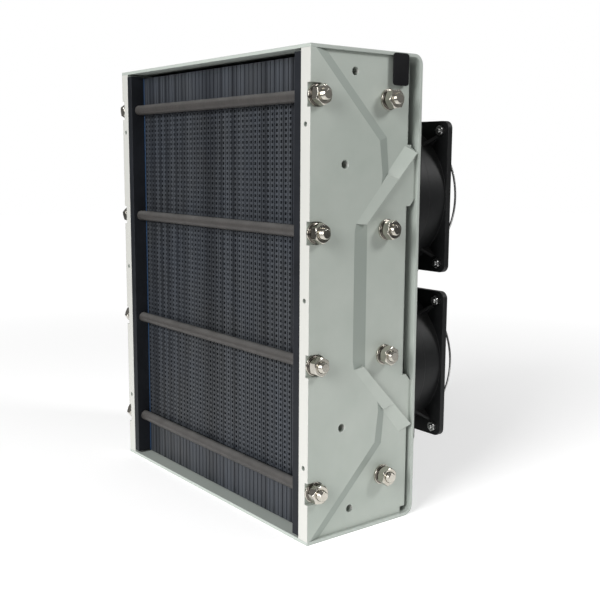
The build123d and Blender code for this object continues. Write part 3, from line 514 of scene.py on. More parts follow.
# ---------------------------------------------------------------- finishes
# A finish has colour and second colour, mixed by soft patches of the scale mottle; worn, a colour for
# edges of the given radius, as strong as wear; rough, the lowest and highest roughness; a fine grain
# of the scale grain, stretched along an axis by stretch and raised by bump; and dust on upper faces.
PLAIN_FINISH = dict(metallic=0.0, specular=0.5, stretch=(1, 1, 1), dust=0.0)
FINISHES = {
    "relief_plate": dict(
        colour=(0.425, 0.458, 0.419), second=(0.352, 0.39, 0.352), worn=(0.62, 0.64, 0.61),
        rough=(0.42, 0.55), metallic=0.15, mottle=9.0, grain=1400.0, bump=0.05, radius=0.0007,
        wear=0.55),
    "shroud_sheet": dict(
        colour=(0.42, 0.455, 0.42), second=(0.375, 0.412, 0.38), worn=(0.6, 0.63, 0.6),
        rough=(0.4, 0.52), metallic=0.1, mottle=8.0, grain=1500.0, bump=0.05, radius=0.0006, wear=0.4,
        dust=0.1),
    "insulator": dict(
        colour=(0.009, 0.01, 0.012), second=(0.014, 0.0155, 0.019), worn=(0.07, 0.075, 0.085),
        rough=(0.38, 0.55), specular=0.12, mottle=30.0, grain=1800.0, stretch=(1, 1, 0.1), bump=0.1,
        radius=0.0005, wear=0.7, dust=0.1),
    "collector": dict(
        colour=(0.02, 0.055, 0.125), second=(0.016, 0.04, 0.09), worn=(0.06, 0.1, 0.18),
        rough=(0.25, 0.4), metallic=0.3, mottle=25.0, grain=1600.0, stretch=(1, 1, 0.1), bump=0.05,
        radius=0.0003, wear=0.5),
    "cap": dict(
        colour=(0.004, 0.004, 0.005), second=(0.007, 0.007, 0.008), worn=(0.03, 0.03, 0.03),
        rough=(0.42, 0.55), specular=0.1, mottle=60.0, grain=2500.0, bump=0.08, radius=0.0005,
        wear=0.5),
    "membrane": dict(
        colour=(0.01, 0.012, 0.015), second=(0.018, 0.02, 0.026), worn=(0.05, 0.05, 0.06),
        rough=(0.5, 0.7), specular=0.2, mottle=40.0, grain=1500.0, stretch=(1, 1, 0.05), bump=0.1,
        radius=0.0002, wear=0.2),
    "sleeve": dict(
        colour=(0.052, 0.048, 0.0455), second=(0.036, 0.034, 0.0325), worn=(0.16, 0.16, 0.16),
        rough=(0.36, 0.5), specular=0.3, mottle=60.0, grain=900.0, stretch=(1, 0.2, 0.2), bump=0.6,
        radius=0.0004, wear=0.3, dust=0.35),
    "nickel": dict(
        colour=(0.58, 0.555, 0.5), second=(0.47, 0.44, 0.38), worn=(0.8, 0.79, 0.76),
        rough=(0.14, 0.3), metallic=1.0, mottle=140.0, grain=2500.0, bump=0.04, radius=0.0002,
        wear=0.8),
    # Painted shade: the disc springs' dark brownish tone stands for the shade and dark reflections in the
    # ring between washer and nut.
    "spring_painted_shade": dict(
        colour=(0.17, 0.155, 0.135), second=(0.11, 0.1, 0.09), worn=(0.5, 0.48, 0.44),
        rough=(0.18, 0.32), metallic=1.0, mottle=140.0, grain=2500.0, bump=0.04, radius=0.0002,
        wear=0.7),
    "screw": dict(
        colour=(0.55, 0.55, 0.54), second=(0.42, 0.42, 0.42), worn=(0.8, 0.8, 0.79), rough=(0.2, 0.36),
        metallic=1.0, mottle=200.0, grain=3000.0, bump=0.05, radius=0.0002, wear=0.7),
    "fan_black": dict(
        colour=(0.0062, 0.0066, 0.007), second=(0.01, 0.0105, 0.011), worn=(0.05, 0.05, 0.052),
        rough=(0.4, 0.54), specular=0.22, mottle=35.0, grain=1600.0, bump=0.1, radius=0.0008, wear=0.5,
        dust=0.25),
    "gasket": dict(
        colour=(0.006, 0.006, 0.006), second=(0.012, 0.012, 0.012), worn=(0.02, 0.02, 0.02),
        rough=(0.75, 0.95), specular=0.1, mottle=150.0, grain=900.0, bump=0.5, radius=0.0005, wear=0.1),
    "steel": dict(
        colour=(0.42, 0.42, 0.42), second=(0.33, 0.33, 0.34), worn=(0.7, 0.7, 0.7), rough=(0.2, 0.32),
        metallic=1.0, mottle=120.0, grain=2200.0, stretch=(1, 0.1, 1), bump=0.05, radius=0.0002,
        wear=0.4),
    "lamination": dict(
        colour=(0.14, 0.075, 0.035), second=(0.09, 0.05, 0.025), worn=(0.3, 0.2, 0.12),
        rough=(0.35, 0.5), metallic=0.7, mottle=120.0, grain=900.0, stretch=(0.1, 6, 0.1), bump=0.3,
        radius=0.0003, wear=0.4),
    "guard_wire": dict(
        colour=(0.45, 0.45, 0.44), second=(0.34, 0.34, 0.34), worn=(0.7, 0.7, 0.7), rough=(0.2, 0.34),
        metallic=1.0, mottle=150.0, grain=2500.0, bump=0.05, radius=0.0002, wear=0.3),
    "fitting": dict(
        colour=(0.55, 0.53, 0.48), second=(0.45, 0.43, 0.38), worn=(0.72, 0.68, 0.55),
        rough=(0.2, 0.34), metallic=1.0, mottle=130.0, grain=2200.0, bump=0.05, radius=0.0003,
        wear=0.6),
}


def principled(material):
    """The material's shader node, with the material's tree emptied of all but it and the output."""
    material.use_nodes = True
    tree = material.node_tree
    tree.nodes.clear()
    output = tree.nodes.new("ShaderNodeOutputMaterial")
    shader = tree.nodes.new("ShaderNodeBsdfPrincipled")
    tree.links.new(shader.outputs[0], output.inputs["Surface"])
    return tree, shader


def add_group(tree, group, **inputs):
    return add_node(tree, "ShaderNodeGroup", inputs, node_tree=group)


def bumped(tree, shader, height, strength, **normal):
    """Raises the shader's surface by a height, over a given Normal or the face's own."""
    inputs = {"Strength": strength, "Distance": BUMP_DISTANCE, "Height": height, **normal}
    bump = add_node(tree, "ShaderNodeBump", inputs)
    tree.links.new(bump.outputs["Normal"], shader.inputs["Normal"])


def make_finish(name, row, groups):
    """A finish from its row in FINISHES: mottled colour, worn edges, dust, uneven gloss, grain."""
    spec = {**PLAIN_FINISH, **row}
    tree, shader = principled(bpy.data.materials.new(name))
    mottle = add_group(tree, groups["mottle"], Scale=spec["mottle"])
    grain = add_group(tree, groups["grain"], Scale=spec["grain"], Stretch=spec["stretch"])
    wear = add_group(tree, groups["wear"], Radius=spec["radius"], Amount=spec["wear"])
    colour = mix_colour(tree, mottle.outputs["Mask"], spec["colour"], spec["second"])
    colour = mix_colour(tree, wear.outputs["Mask"], colour, spec["worn"])
    if spec["dust"] > 0:
        dust = add_group(tree, groups["dust"], Amount=spec["dust"])
        colour = mix_colour(tree, dust.outputs["Mask"], colour, (0.34, 0.34, 0.33))
    tree.links.new(colour, shader.inputs["Base Color"])
    low, high = spec["rough"]
    blend = math_node(tree, "ADD", math_node(tree, "MULTIPLY", mottle.outputs["Mask"], 0.6),
                      math_node(tree, "MULTIPLY", grain.outputs["Height"], 0.4))
    tree.links.new(remap(tree, blend, 0.0, 1.0, low, high), shader.inputs["Roughness"])
    shader.inputs["Metallic"].default_value = spec["metallic"]
    shader.inputs["Specular IOR Level"].default_value = spec["specular"]
    bumped(tree, shader, grain.outputs["Height"], spec["bump"], Normal=wear.outputs["Normal"])
    return tree, shader


def face_direction(tree):
    """The outputs X, Y and Z of the flat face's own direction."""
    return components(tree, add_node(tree, "ShaderNodeNewGeometry").outputs["True Normal"])


def tone_over(tree, shader, mask, colour):
    """Lays another tone over the shader's base colour, as far as a mask says."""
    base = shader.inputs["Base Color"]
    tree.links.new(mix_colour(tree, mask, base.links[0].from_socket, colour), base)


def paint_front_light(tree, shader):
    """Painted light: the end plate's faces that look along -Y, towards the front lamp, take a paler tone, so
    that the lit front edge reads bright.
    """
    # painted light: a paler tone on the faces that look to the front
    tone_over(tree, shader, remap(tree, face_direction(tree)["Y"], -0.8, -0.97), PAINTED_FRONT_LIGHT)


def paint_slope_shade(tree, shader):
    """Painted shade: the slopes that look to the rear, away from the front lamp, take a darker, greener tone
    than the faces: a mask from how far a face turns from X, for the slopes that look to the rear."""
    direction = face_direction(tree)
    across = math_node(tree, "ABSOLUTE", direction["X"])
    tilted = math_node(tree, "MULTIPLY", remap(tree, across, 0.995, 0.985), remap(tree, across, 0.5, 0.7))
    mask = math_node(tree, "MULTIPLY", tilted, remap(tree, direction["Y"], 0.02, 0.10))
    # painted shade on the slopes that look to the rear
    tone_over(tree, shader, mask, PAINTED_SLOPE_SHADE)


def graphite_finish(groups, settings):
    """Moulded graphite: dark grey-blue, each plate a little different, with fine upright streaks."""
    tree, shader = principled(bpy.data.materials.new("graphite"))
    across = components(tree, object_coordinates(tree))["X"]
    index = math_node(tree, "FLOOR", math_node(tree, "DIVIDE", across, settings.pitch))
    white = add_node(tree, "ShaderNodeTexWhiteNoise", {"W": index}, noise_dimensions="1D")
    streak = add_group(tree, groups["grain"], Scale=1100.0, Stretch=(1.0, 1.0, 0.02))
    cloud = add_group(tree, groups["mottle"], Scale=10.0)
    tone = math_node(tree, "ADD", math_node(tree, "MULTIPLY", white.outputs["Value"], 0.5),
                     math_node(tree, "MULTIPLY", streak.outputs["Height"], 0.5))
    dark = mix_colour(tree, cloud.outputs["Mask"], settings.dark[:], settings.dark_blue[:])
    light = mix_colour(tree, cloud.outputs["Mask"], settings.light[:], settings.light_blue[:])
    colour = mix_colour(tree, remap(tree, tone, 0.25, 0.75), dark, light)
    tree.links.new(colour, shader.inputs["Base Color"])
    tree.links.new(remap(tree, tone, 0.2, 0.8, 0.42, 0.62), shader.inputs["Roughness"])
    shader.inputs["Specular IOR Level"].default_value = 0.35
    bumped(tree, shader, streak.outputs["Height"], 0.12)


def finish(name):
    """The finish that was made under this name."""
    return bpy.data.materials[name]


# ---------------------------------------------------------------- settings
def metres(name, description, default):
    """A length, shown to a hundredth of a millimetre."""
    return bpy.props.FloatProperty(name=name, description=description, default=default, unit="LENGTH",
                                   precision=5)


def tint(name, description, default):
    """A colour."""
    return bpy.props.FloatVectorProperty(name=name, description=description, default=default, subtype="COLOR")


class StackCellSettings(bpy.types.PropertyGroup):
    plates: bpy.props.IntProperty(name="Plates", description="Bipolar plates in the stack", default=43, min=2)
    pitch: metres("Pitch", "From one plate to the next", 0.00558)
    thickness: metres("Thickness", "Of a bipolar plate", 0.00468)
    channel_width: metres("Channel width", "Of an air channel", 0.0023)
    channel_height: metres("Channel height", "Of an air channel", 0.0021)
    channel_pitch: metres("Channel pitch", "From one air channel to the next", 0.00405)
    dark: tint("Dark", "Darker graphite", (0.0165, 0.0180, 0.0200))
    dark_blue: tint("Dark blue", "Darker graphite, bluer patches", (0.0170, 0.0200, 0.0260))
    light: tint("Light", "Lighter graphite", (0.041, 0.0440, 0.0480))
    light_blue: tint("Light blue", "Lighter graphite, bluer patches", (0.037, 0.0430, 0.0530))


class StackRodSettings(bpy.types.PropertyGroup):
    rod_radius: metres("Rod radius", "Of a tie rod", 0.004)
    thread_pitch: metres("Thread pitch", "Of a tie rod", 0.00125)
    tip_setback: metres("Tip setback", "A rod's tip lies this far inside its CAD end", 0.0025)
    sleeve_radius: metres("Sleeve radius", "Outside of a rod's sleeve", 0.0045)
    sleeve_waviness: metres("Sleeve waviness", "How unevenly a sleeve shrank", 0.00012)
    pocket_step: metres("Pocket step", "Front seats lie this much deeper", 0.001)
    washer_radius: metres("Washer radius", "Of a flat washer", 0.0078)
    washer_thickness: metres("Washer thickness", "Of a flat washer", 0.0016)
    spring_radius: metres("Spring radius", "Of a disc spring", 0.0072)
    spring_thickness: metres("Spring thickness", "Height of a disc spring", 0.0018)
    nut_flats: metres("Nut flats", "Across a nut's flats", 0.013)
    nut_height: metres("Nut height", "Of a tie rod nut", 0.0065)


class StackFanSettings(bpy.types.PropertyGroup):
    blades: bpy.props.IntProperty(name="Blades", description="Blades of a rotor", default=7, min=3)
    hub_radius: metres("Hub radius", "Of a rotor", 0.023)
    hub_wall: metres("Hub wall", "Of a rotor's cup", 0.0022)
    tip_radius: metres("Tip radius", "Of a rotor", 0.056)
    wire_radius: metres("Wire radius", "Of a finger guard", 0.00085)
    guard_rings: bpy.props.IntProperty(name="Guard rings", description="Of a finger guard", default=6, min=2)
    guard_radius: metres("Guard radius", "Of the guard's outer ring", 0.0575)
    guard_inner: metres("Guard inner radius", "Of the guard's inner ring", 0.012)
    guard_rise: metres("Guard rise", "How far the guard stands off the flange", 0.006)
    head_radius: metres("Head radius", "Of a fan screw", 0.0036)
    head_height: metres("Head height", "Of a fan screw", 0.0026)
    screw_radius: metres("Screw radius", "Of a fan screw", 0.002)
    nut_flats: metres("Nut flats", "Across a fan nut's flats", 0.007)
    hole_pitch: metres("Hole pitch", "Between a fan's screws", 0.105)


class StackFittingSettings(bpy.types.PropertyGroup):
    bore_radius: metres("Bore radius", "Of the tube's bore", 0.003)
    thread_radius: metres("Thread radius", "Of the thread and the collar", 0.0048)
    body_radius: metres("Body radius", "Of the round body", 0.0056)
    body_length: metres("Body length", "Of the round body", 0.008)
    collar_length: metres("Collar length", "Of the release collar", 0.003)
    hex_height: metres("Hexagon height", "Of the hexagon", 0.006)
    flats: metres("Flats", "Across the hexagon's flats", 0.014)


class StackStageSettings(bpy.types.PropertyGroup):
    floor_size: metres("Floor size", "Side of the floor", 8.0)
    floor_near: metres("Floor near", "Within this the floor is plain", 0.3)
    floor_far: metres("Floor far", "Beyond this the floor is pure white", 1.0)
    floor_glow: bpy.props.FloatProperty(name="Floor glow", description="How much the plain floor is lifted",
                                         default=0.35)
    key_power: bpy.props.FloatProperty(name="Key power", description="Of the lamp above the right rear",
                                         default=11.5, unit="POWER")
    front_power: bpy.props.FloatProperty(name="Front power", description="Of the wide lamp at the front",
                                         default=50.0, unit="POWER")
    room: bpy.props.FloatProperty(name="Room light", description="Strength of the light from all round",
                                         default=0.2)


# ---------------------------------------------------------------- operators
class StackFinishes(bpy.types.Operator):
    """Makes every finish and gives it to the CAD pieces of its slot"""
    bl_idname = "stack.finishes"
    bl_label = "Finishes"

    def execute(self, context):
        for plain in list(bpy.data.materials):
            bpy.data.materials.remove(plain)
        groups = {"mottle": mottle_group(), "grain": grain_group(), "wear": wear_group(),
                  "dust": dust_group()}
        for name, spec in FINISHES.items():
            tree, shader = make_finish(name, spec, groups)
            if name == "relief_plate":
                # painted light: a paler tone on the end plates' faces that look to the front lamp
                paint_front_light(tree, shader)
                # painted shade: a darker tone on the end plates' slopes that look to the rear
                paint_slope_shade(tree, shader)
        graphite_finish(groups, context.scene.stack_cells)
        slots = {part["node"]: part["material_slot"] for part in frame["record"]["subparts"]}
        for node, obj in frame["nodes"].items():
            obj.data.materials.clear()
            obj.data.materials.append(finish(slots[node]))
        return {"FINISHED"}


class StackCells(bpy.types.Operator):
    """Bipolar plates with their air channels, open from front to back"""
    bl_idname = "stack.cells"
    bl_label = "Cells"

    def execute(self, context):
        settings = context.scene.stack_cells
        low, high = corners("bipolar_plates")
        heights, _, _ = rod_lines(context.scene.stack_rods.rod_radius)
        rows = int((heights[3] - heights[0]) / settings.channel_pitch)
        first = (heights[0] + heights[3]) / 2 - (rows - 1) / 2 * settings.channel_pitch
        centres = first + settings.channel_pitch * np.arange(rows)
        half = settings.channel_height / 2
        levels = np.stack([centres - half, centres + half], axis=1)
        plate = channelled_plate(low[0], low[0] + settings.thickness, low[1], high[1], low[2], high[2],
                                 settings.channel_width, levels)
        offsets = np.zeros((settings.plates, 3))
        offsets[:, 0] = np.arange(settings.plates) * settings.pitch
        make_piece("channelled_plates", [shifted_copies(plate, offsets)], "graphite", ("bipolar_plates",))
        return {"FINISHED"}


class StackRods(bpy.types.Operator):
    """Threaded tie rods with their sleeves, washers, disc springs and nuts"""
    bl_idname = "stack.rods"
    bl_label = "Tie rods"

    def execute(self, context):
        s = context.scene.stack_rods
        heights, lines, reach = rod_lines(s.rod_radius)
        rear_seat = corners("flat_washers")[1][0] - s.washer_thickness
        seats = {lines[0]: rear_seat - s.pocket_step, lines[1]: rear_seat}
        washer, spring = self.washer(s), self.disc_spring(s)
        nut = hex_nut(s.nut_flats, s.nut_height, s.rod_radius * NUT_BORE, s.nut_height * NUT_EDGE)
        under_nut = s.washer_thickness + s.spring_thickness
        washers, springs, nuts, rods = [], [], [], []
        for z in heights:
            for y in lines:
                seat = seats[y]
                start = seat + under_nut + s.nut_height * 0.5
                end = threaded_end(s.rod_radius, reach - s.tip_setback - start, s.thread_pitch, THREAD_DEPTH,
                                   ROD_TIP_CHAMFER)
                for side in (1, -1):
                    washers.append(moved(washer, along_x(seat, y, z, side)))
                    springs.append(moved(spring, along_x(seat + s.washer_thickness, y, z, side)))
                    resting = spun(nut, self.resting_angle(y, z, side))
                    nuts.append(moved(resting, along_x(seat + under_nut, y, z, side)))
                    rods.append(moved(end, along_x(start, y, z, side)))
                rods.append(moved(self.core(s, seat), along_x(0.0, y, z, 1)))
        make_piece("rod_washers", washers, "nickel", ("flat_washers",))
        # the disc springs take a dark tone: painted shade and painted reflection between washer and nut
        make_piece("rod_disc_springs", springs, "nickel", ("disc_springs",), look="spring_painted_shade")
        make_piece("rod_nuts", nuts, "nickel", ("tie_rod_nuts",), sharp_angle=20.0)
        make_piece("threaded_rods", rods, "nickel", ("tie_rods",), sharp_angle=25.0)
        for name, node, y in (("front_sleeves", "front_rod_sleeves", lines[0]),
                              ("rear_sleeves", "rear_rod_sleeves", lines[1])):
            low, high = corners(node)
            make_piece(name, [self.sleeve(low[0], high[0], y, z, s) for z in heights], "sleeve", (node,))
        return {"FINISHED"}

    @staticmethod
    def washer(s):
        """Flat ring with soft edges, turned about Z."""
        outline = [(s.rod_radius, 0), (s.washer_radius, 0), (s.washer_radius, s.washer_thickness),
                   (s.rod_radius, s.washer_thickness)]
        return turned(rounded_loop(outline, SOFT_EDGE), 48)

    @staticmethod
    def disc_spring(s):
        """Coned ring with soft edges, turned about Z. Its bore stands above its rim."""
        cone = s.spring_thickness * SPRING_CONE
        outline = [(s.rod_radius, cone), (s.spring_radius, 0), (s.spring_radius, s.spring_thickness - cone),
                   (s.rod_radius, s.spring_thickness)]
        return turned(rounded_loop(outline, SOFT_EDGE), 48)

    @staticmethod
    def resting_angle(y, z, side):
        """The angle at which a nut came to rest: a fast sine of its place, so that nuts differ."""
        return float(np.sin(z * 4000 + y * 900 + side)) * math.pi

    @staticmethod
    def core(s, seat):
        """Plain round bar from nut to nut."""
        radius, end = s.rod_radius * ROD_CORE, seat + ROD_CORE_OVERRUN
        profile = np.array([(0, -seat), (radius, -seat), (radius, end), (0, end)])
        return turned(profile, 24, close_profile=False)

    @staticmethod
    def sleeve(x0, x1, y, z, s, rows=181, steps=24):
        """Shrunk sleeve along X: a circle whose radius wavers along its length and around it by a
        sum of sines, so that it looks shrunk by hand. It never passes the sleeve's radius."""
        x = np.linspace(x0, x1, rows)[:, None]
        angle = around(steps)[None, :]
        phase = z * 37.0
        waver = (np.sin(x * 95 + phase) + np.sin(x * 213 + 2 * angle + phase * 2)
                 + np.sin(x * 410 - angle + phase)) / 3
        radius = s.sleeve_radius - s.sleeve_waviness * (1 + waver)
        outer = np.stack(np.broadcast_arrays(x, y + radius * np.cos(angle), z + radius * np.sin(angle)),
                         axis=-1)
        first = np.zeros((1, steps, 3)) + np.array([x0, y, z])
        last = np.zeros((1, steps, 3)) + np.array([x1, y, z])
        return surface(np.concatenate([first, outer, last]), close_columns=True)


class StackFans(bpy.types.Operator):
    """Fan rotors with twisted blades and wire finger guards"""
    bl_idname = "stack.fans"
    bl_label = "Fans"

    def execute(self, context):
        s = context.scene.stack_fans
        for name in FAN_NAMES:
            place = fan_place(name)
            low, high = corners("fan_rotor_" + name)
            gasket_front = corners("fan_gasket_" + name)[0][1]
            front, back = low[1] - gasket_front, high[1] - gasket_front
            rotor = [self.hub(s, front, back)] + self.blades(s, front, back)
            make_piece("rotor_" + name, [moved(part, place) for part in rotor], "fan_black",
                       ("fan_rotor_" + name,), body=name + "_rotor")
            flange = corners("fan_housing_" + name)[1][1] - gasket_front
            guard = self.guard(s, flange)
            make_piece("guard_" + name, [moved(part, place) for part in guard], "guard_wire",
                       ("finger_guard_" + name,))
        return {"FINISHED"}

    @staticmethod
    def hub(s, front, back):
        """Cup of the rotor, turned about its axis, with a rounded nose and a bore for the shaft."""
        inner = s.hub_radius - s.hub_wall
        outline = [(SHAFT_RADIUS, front), (s.hub_radius, front), (s.hub_radius, back), (inner, back),
                   (inner, front + s.hub_wall), (SHAFT_RADIUS, front + s.hub_wall)]
        return turned(rounded_loop(outline, HUB_ROUNDING, 4), 72)

    @staticmethod
    def blades(s, front, back):
        """Blades as cambered sections that turn and widen with the radius: along the chord t the
        section lies at (t - 1/2) chord, raised by a parabola of camber, and is rotated by a pitch
        that falls from root to tip. The thickness follows the square root of t (1 - t)."""
        t = np.linspace(0.0, 1.0, 21)[None, :]
        v = np.linspace(0.0, 1.0, 13)[:, None]
        radius = (s.hub_radius - s.hub_wall / 2) * (1 - v) + s.tip_radius * v
        chord = ROOT_CHORD * (1 - v) + TIP_CHORD * v
        pitch = np.radians(ROOT_PITCH * (1 - v) + TIP_PITCH * v)
        camber = BLADE_CAMBER * 4 * t * (1 - t)
        swell = 2 * (1 - BLADE_EDGE_SHARE) * np.sqrt(t * (1 - t))
        half = BLADE_HALF_THICKNESS * (BLADE_EDGE_SHARE + swell)
        middle = (front + back) / 2
        room = (back - front) / 2 - BLADE_CLEARANCE
        along = (t - 0.5) * chord
        sides = []
        for sign in (1, -1):
            across = camber + sign * half
            tangent = along * np.cos(pitch) - across * np.sin(pitch)
            axial = np.clip(along * np.sin(pitch) + across * np.cos(pitch), -room, room)
            sides.append(polar(radius, BLADE_SWEEP * v + tangent / radius, middle + axial))
        loop = np.concatenate([sides[0], sides[1][:, ::-1]], axis=1)
        root = np.repeat(loop[:1].mean(axis=1, keepdims=True), loop.shape[1], axis=1)
        tip = np.repeat(loop[-1:].mean(axis=1, keepdims=True), loop.shape[1], axis=1)
        blade = surface(np.concatenate([root, loop, tip]), close_columns=True)
        return [spun(blade, angle) for angle in around(s.blades)]

    @staticmethod
    def guard(s, flange):
        """Welded wire guard: rings and legs on one domed form, whose height rises from the flange
        over a short run and then swells slightly towards the middle."""
        corner = s.hole_pitch / math.sqrt(2)
        foot = corner - GUARD_EYE

        def height(r):
            rise = np.clip((foot - r) / (foot - s.guard_radius), 0.0, 1.0)
            rise = rise * rise * (3 - 2 * rise)
            dome = GUARD_DOME * np.clip(1 - (r / s.guard_radius) ** 2, 0.0, 1.0)
            return flange + s.wire_radius + s.guard_rise * rise + dome

        wires = []
        for radius in np.linspace(s.guard_inner, s.guard_radius, s.guard_rings):
            ring = polar(radius, around(96), height(radius) + s.wire_radius * RING_LIFT)
            wires.append(tube(ring, s.wire_radius, 8, True))
        r = np.linspace(foot, s.guard_inner, 40)
        for quarter in range(4):
            a = math.pi / 4 + quarter * math.pi / 2
            wires.append(tube(polar(r, a, height(r)), s.wire_radius, 8, False))
            middle = polar(corner, a, flange + s.wire_radius)
            wires.append(tube(middle + polar(GUARD_EYE, around(24), 0.0), s.wire_radius, 8, True))
        return wires


class StackFasteners(bpy.types.Operator):
    """Fan screws with domed, cross-recessed heads, their nuts, and the hydrogen fittings"""
    bl_idname = "stack.fasteners"
    bl_label = "Fasteners"

    def execute(self, context):
        s = context.scene.stack_fans
        rear = corners("fan_gasket_upper_right")[0][1]
        half = s.hole_pitch / 2
        seats = [np.array([a * half, b * half, 0.0]) for a in (-1, 1) for b in (-1, 1)]
        for node, head_outside in (("guard_screws", True), ("fan_mount_screws", False)):
            low, high = corners(node)
            out, back = (high[1], low[1]) if head_outside else (low[1], high[1])
            sign = 1.0 if head_outside else -1.0
            head = pan_head(s.head_radius, s.head_height, s.screw_radius, abs(out - back) - s.head_height)
            head = moved(head, lambda p, at=out, sign=sign: np.stack(
                [p[:, 0], p[:, 1], at - rear + sign * (p[:, 2] - s.head_height)], axis=1))
            self.at_every_screw(node, head, seats)
        for node in ("guard_nuts", "fan_mount_nuts"):
            low, high = corners(node)
            nut = hex_nut(s.nut_flats, high[1] - low[1], s.screw_radius, FAN_NUT_EDGE, 48)
            nut = moved(nut, lambda p, at=low[1] - rear: p + np.array([0.0, 0.0, at]))
            self.at_every_screw(node, nut, seats)
        for node in ("hydrogen_inlet_fitting", "hydrogen_outlet_fitting"):
            surfaces = self.fitting(node, context.scene.stack_fittings)
            make_piece(node + "_detailed", surfaces, "fitting", (node,))
        return {"FINISHED"}

    @staticmethod
    def at_every_screw(node, surf, seats):
        """One copy of a surface at each of the four screws of every fan, in place of a CAD node."""
        surfaces = [moved(moved(surf, lambda p, at=at: p + at), fan_place(fan))
                    for fan in FAN_NAMES for at in seats]
        make_piece(node + "_detailed", surfaces, "screw", (node,))

    @staticmethod
    def fitting(node, s):
        """Push-in fitting: thread, hexagon, round body with a groove, and collar, about a tube's bore."""
        low, high = corners(node)
        y, z = (low[1] + high[1]) / 2, (low[2] + high[2]) / 2
        tip, root = -low[0], -high[0]
        shoulder = tip - s.collar_length
        seat = shoulder - s.body_length - s.hex_height
        outline = [(s.bore_radius, root), (s.thread_radius, root), (s.thread_radius, seat),
                   (s.body_radius, seat), (s.body_radius, shoulder), (s.thread_radius, shoulder),
                   (s.thread_radius, tip), (s.bore_radius, tip)]
        core = turned(rounded_loop(outline, FITTING_ROUNDING), 64)
        nut = hex_nut(s.flats, s.hex_height, s.body_radius * FITTING_BORE, FITTING_EDGE)
        return [moved(core, along_x(0.0, y, z, -1)), moved(nut, along_x(seat, y, z, -1))]


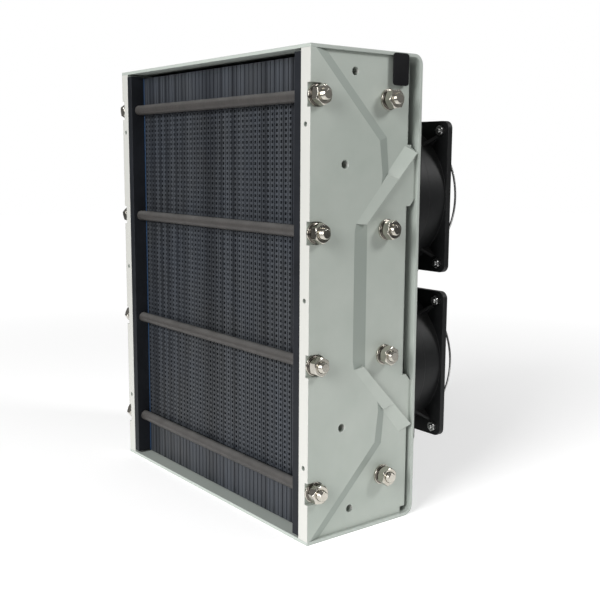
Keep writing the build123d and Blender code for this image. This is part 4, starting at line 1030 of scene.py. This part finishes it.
class StackStage(bpy.types.Operator):
    """Plain pale floor, soft lamps, white surroundings and the camera"""
    bl_idname = "stack.stage"
    bl_label = "Stage"

    def execute(self, context):
        s = context.scene.stack_stage
        self.floor(s)
        self.surroundings(s)
        self.lamp("key", s.key_power, **KEY_LAMP)
        self.lamp("front", s.front_power, **FRONT_LAMP)
        self.camera(context)
        context.scene.view_settings.view_transform = "Standard"
        return {"FINISHED"}

    @staticmethod
    def floor(s):
        """Pale plane under the stack that fades to pure white away from it."""
        half = s.floor_size / 2
        line = np.linspace(-half, half, 3)
        x, y = np.meshgrid(line, line, indexing="ij")
        points, faces = surface(np.stack([x, y, 0 * x - FLOOR_DROP], axis=-1))
        mesh = bpy.data.meshes.new("floor")
        mesh.from_pydata(points.tolist(), [], faces.tolist())
        mesh.update()
        obj = bpy.data.objects.new("floor", mesh)
        bpy.context.scene.collection.objects.link(obj)
        material = bpy.data.materials.new("floor")
        tree, shader = principled(material)
        distance = add_node(tree, "ShaderNodeVectorMath", {0: object_coordinates(tree)}, operation="LENGTH")
        far = remap(tree, distance.outputs["Value"], s.floor_near, s.floor_far)
        tree.links.new(mix_colour(tree, far, FLOOR_TONE, BLACK), shader.inputs["Base Color"])
        shader.inputs["Roughness"].default_value = 0.9
        shader.inputs["Specular IOR Level"].default_value = 0.1
        path = tree.nodes.new("ShaderNodeLightPath")
        glow = remap(tree, far, 0.0, 1.0, s.floor_glow, 1.0)
        shown = math_node(tree, "MAXIMUM", path.outputs["Is Camera Ray"],
                          math_node(tree, "SUBTRACT", 1.0, far))
        tree.links.new(math_node(tree, "MULTIPLY", shown, glow), shader.inputs["Emission Strength"])
        shader.inputs["Emission Color"].default_value = WHITE
        mesh.materials.append(material)

    @staticmethod
    def surroundings(s):
        """White to the camera and through what is clear, and a dimmer light on everything else."""
        world = bpy.data.worlds.new("surroundings")
        bpy.context.scene.world = world
        world.use_nodes = True
        tree = world.node_tree
        tree.nodes.clear()
        output = tree.nodes.new("ShaderNodeOutputWorld")
        background = add_node(tree, "ShaderNodeBackground", {"Color": WHITE})
        path = tree.nodes.new("ShaderNodeLightPath")
        seen = math_node(tree, "ADD", path.outputs["Is Camera Ray"], path.outputs["Is Transmission Ray"],
                         clamp=True)
        tree.links.new(remap(tree, seen, 0.0, 1.0, s.room, 1.0), background.inputs["Strength"])
        tree.links.new(background.outputs[0], output.inputs["Surface"])

    @staticmethod
    def lamp(name, power, direction, distance, size):
        """Square area lamp that looks at the middle of the stack from a direction."""
        low, high = (np.array(c) for c in CAD_BOX)
        away = np.array(direction) / np.linalg.norm(direction)
        data = bpy.data.lights.new(name, "AREA")
        data.shape = "SQUARE"
        data.size = size
        data.energy = power
        obj = bpy.data.objects.new(name, data)
        side = level_side(away)
        obj.matrix_world = world_matrix(side, np.cross(away, side), away, (low + high) / 2 + away * distance)
        bpy.context.scene.collection.objects.link(obj)

    @staticmethod
    def camera(context):
        """Camera at the front right, a little above the middle, looking down by a few degrees."""
        data = bpy.data.cameras.new("camera")
        data.sensor_width = CAMERA_SENSOR
        data.lens = CAMERA_LENS
        data.clip_start = CAMERA_CLIP
        back = -np.array(CAMERA_AHEAD) / np.linalg.norm(CAMERA_AHEAD)
        side = level_side(back)
        up = np.cross(back, side)
        cos, sin = math.cos(CAMERA_ROLL), math.sin(CAMERA_ROLL)
        obj = bpy.data.objects.new("camera", data)
        obj.matrix_world = world_matrix(cos * side + sin * up, cos * up - sin * side, back, CAMERA_PLACE)
        context.scene.collection.objects.link(obj)
        context.scene.camera = obj


class StackPanel(bpy.types.Panel):
    """Lists the stack's settings and its operators"""
    bl_idname = "VIEW3D_PT_stack"
    bl_label = "Fuel cell stack"
    bl_space_type = "VIEW_3D"
    bl_region_type = "UI"
    bl_category = "Stack"

    def draw(self, context):
        scene = context.scene
        for title, settings, operators in (
                ("Cells", scene.stack_cells, ("stack.finishes", "stack.cells")),
                ("Tie rods", scene.stack_rods, ("stack.rods",)),
                ("Fans", scene.stack_fans, ("stack.fans",)),
                ("Hydrogen fittings", scene.stack_fittings, ("stack.fasteners",)),
                ("Stage", scene.stack_stage, ("stack.stage",))):
            box = self.layout.box()
            box.label(text=title)
            for name in settings.__annotations__:
                box.prop(settings, name)
            for operator in operators:
                box.operator(operator)


SETTINGS = (("stack_cells", StackCellSettings), ("stack_rods", StackRodSettings),
            ("stack_fans", StackFanSettings), ("stack_fittings", StackFittingSettings),
            ("stack_stage", StackStageSettings))
OPERATORS = (StackFinishes, StackCells, StackRods, StackFans, StackFasteners, StackStage)


def register():
    for name, settings in SETTINGS:
        bpy.utils.register_class(settings)
        setattr(bpy.types.Scene, name, bpy.props.PointerProperty(type=settings))
    for operator in OPERATORS:
        bpy.utils.register_class(operator)
    bpy.utils.register_class(StackPanel)


def unregister():
    bpy.utils.unregister_class(StackPanel)
    for operator in reversed(OPERATORS):
        bpy.utils.unregister_class(operator)
    for name, settings in reversed(SETTINGS):
        delattr(bpy.types.Scene, name)
        bpy.utils.unregister_class(settings)


def main():
    register()
    bpy.ops.stack.finishes()
    bpy.ops.stack.cells()
    bpy.ops.stack.rods()
    bpy.ops.stack.fans()
    bpy.ops.stack.fasteners()
    bpy.ops.stack.stage()


if __name__ == "__main__":
    main()
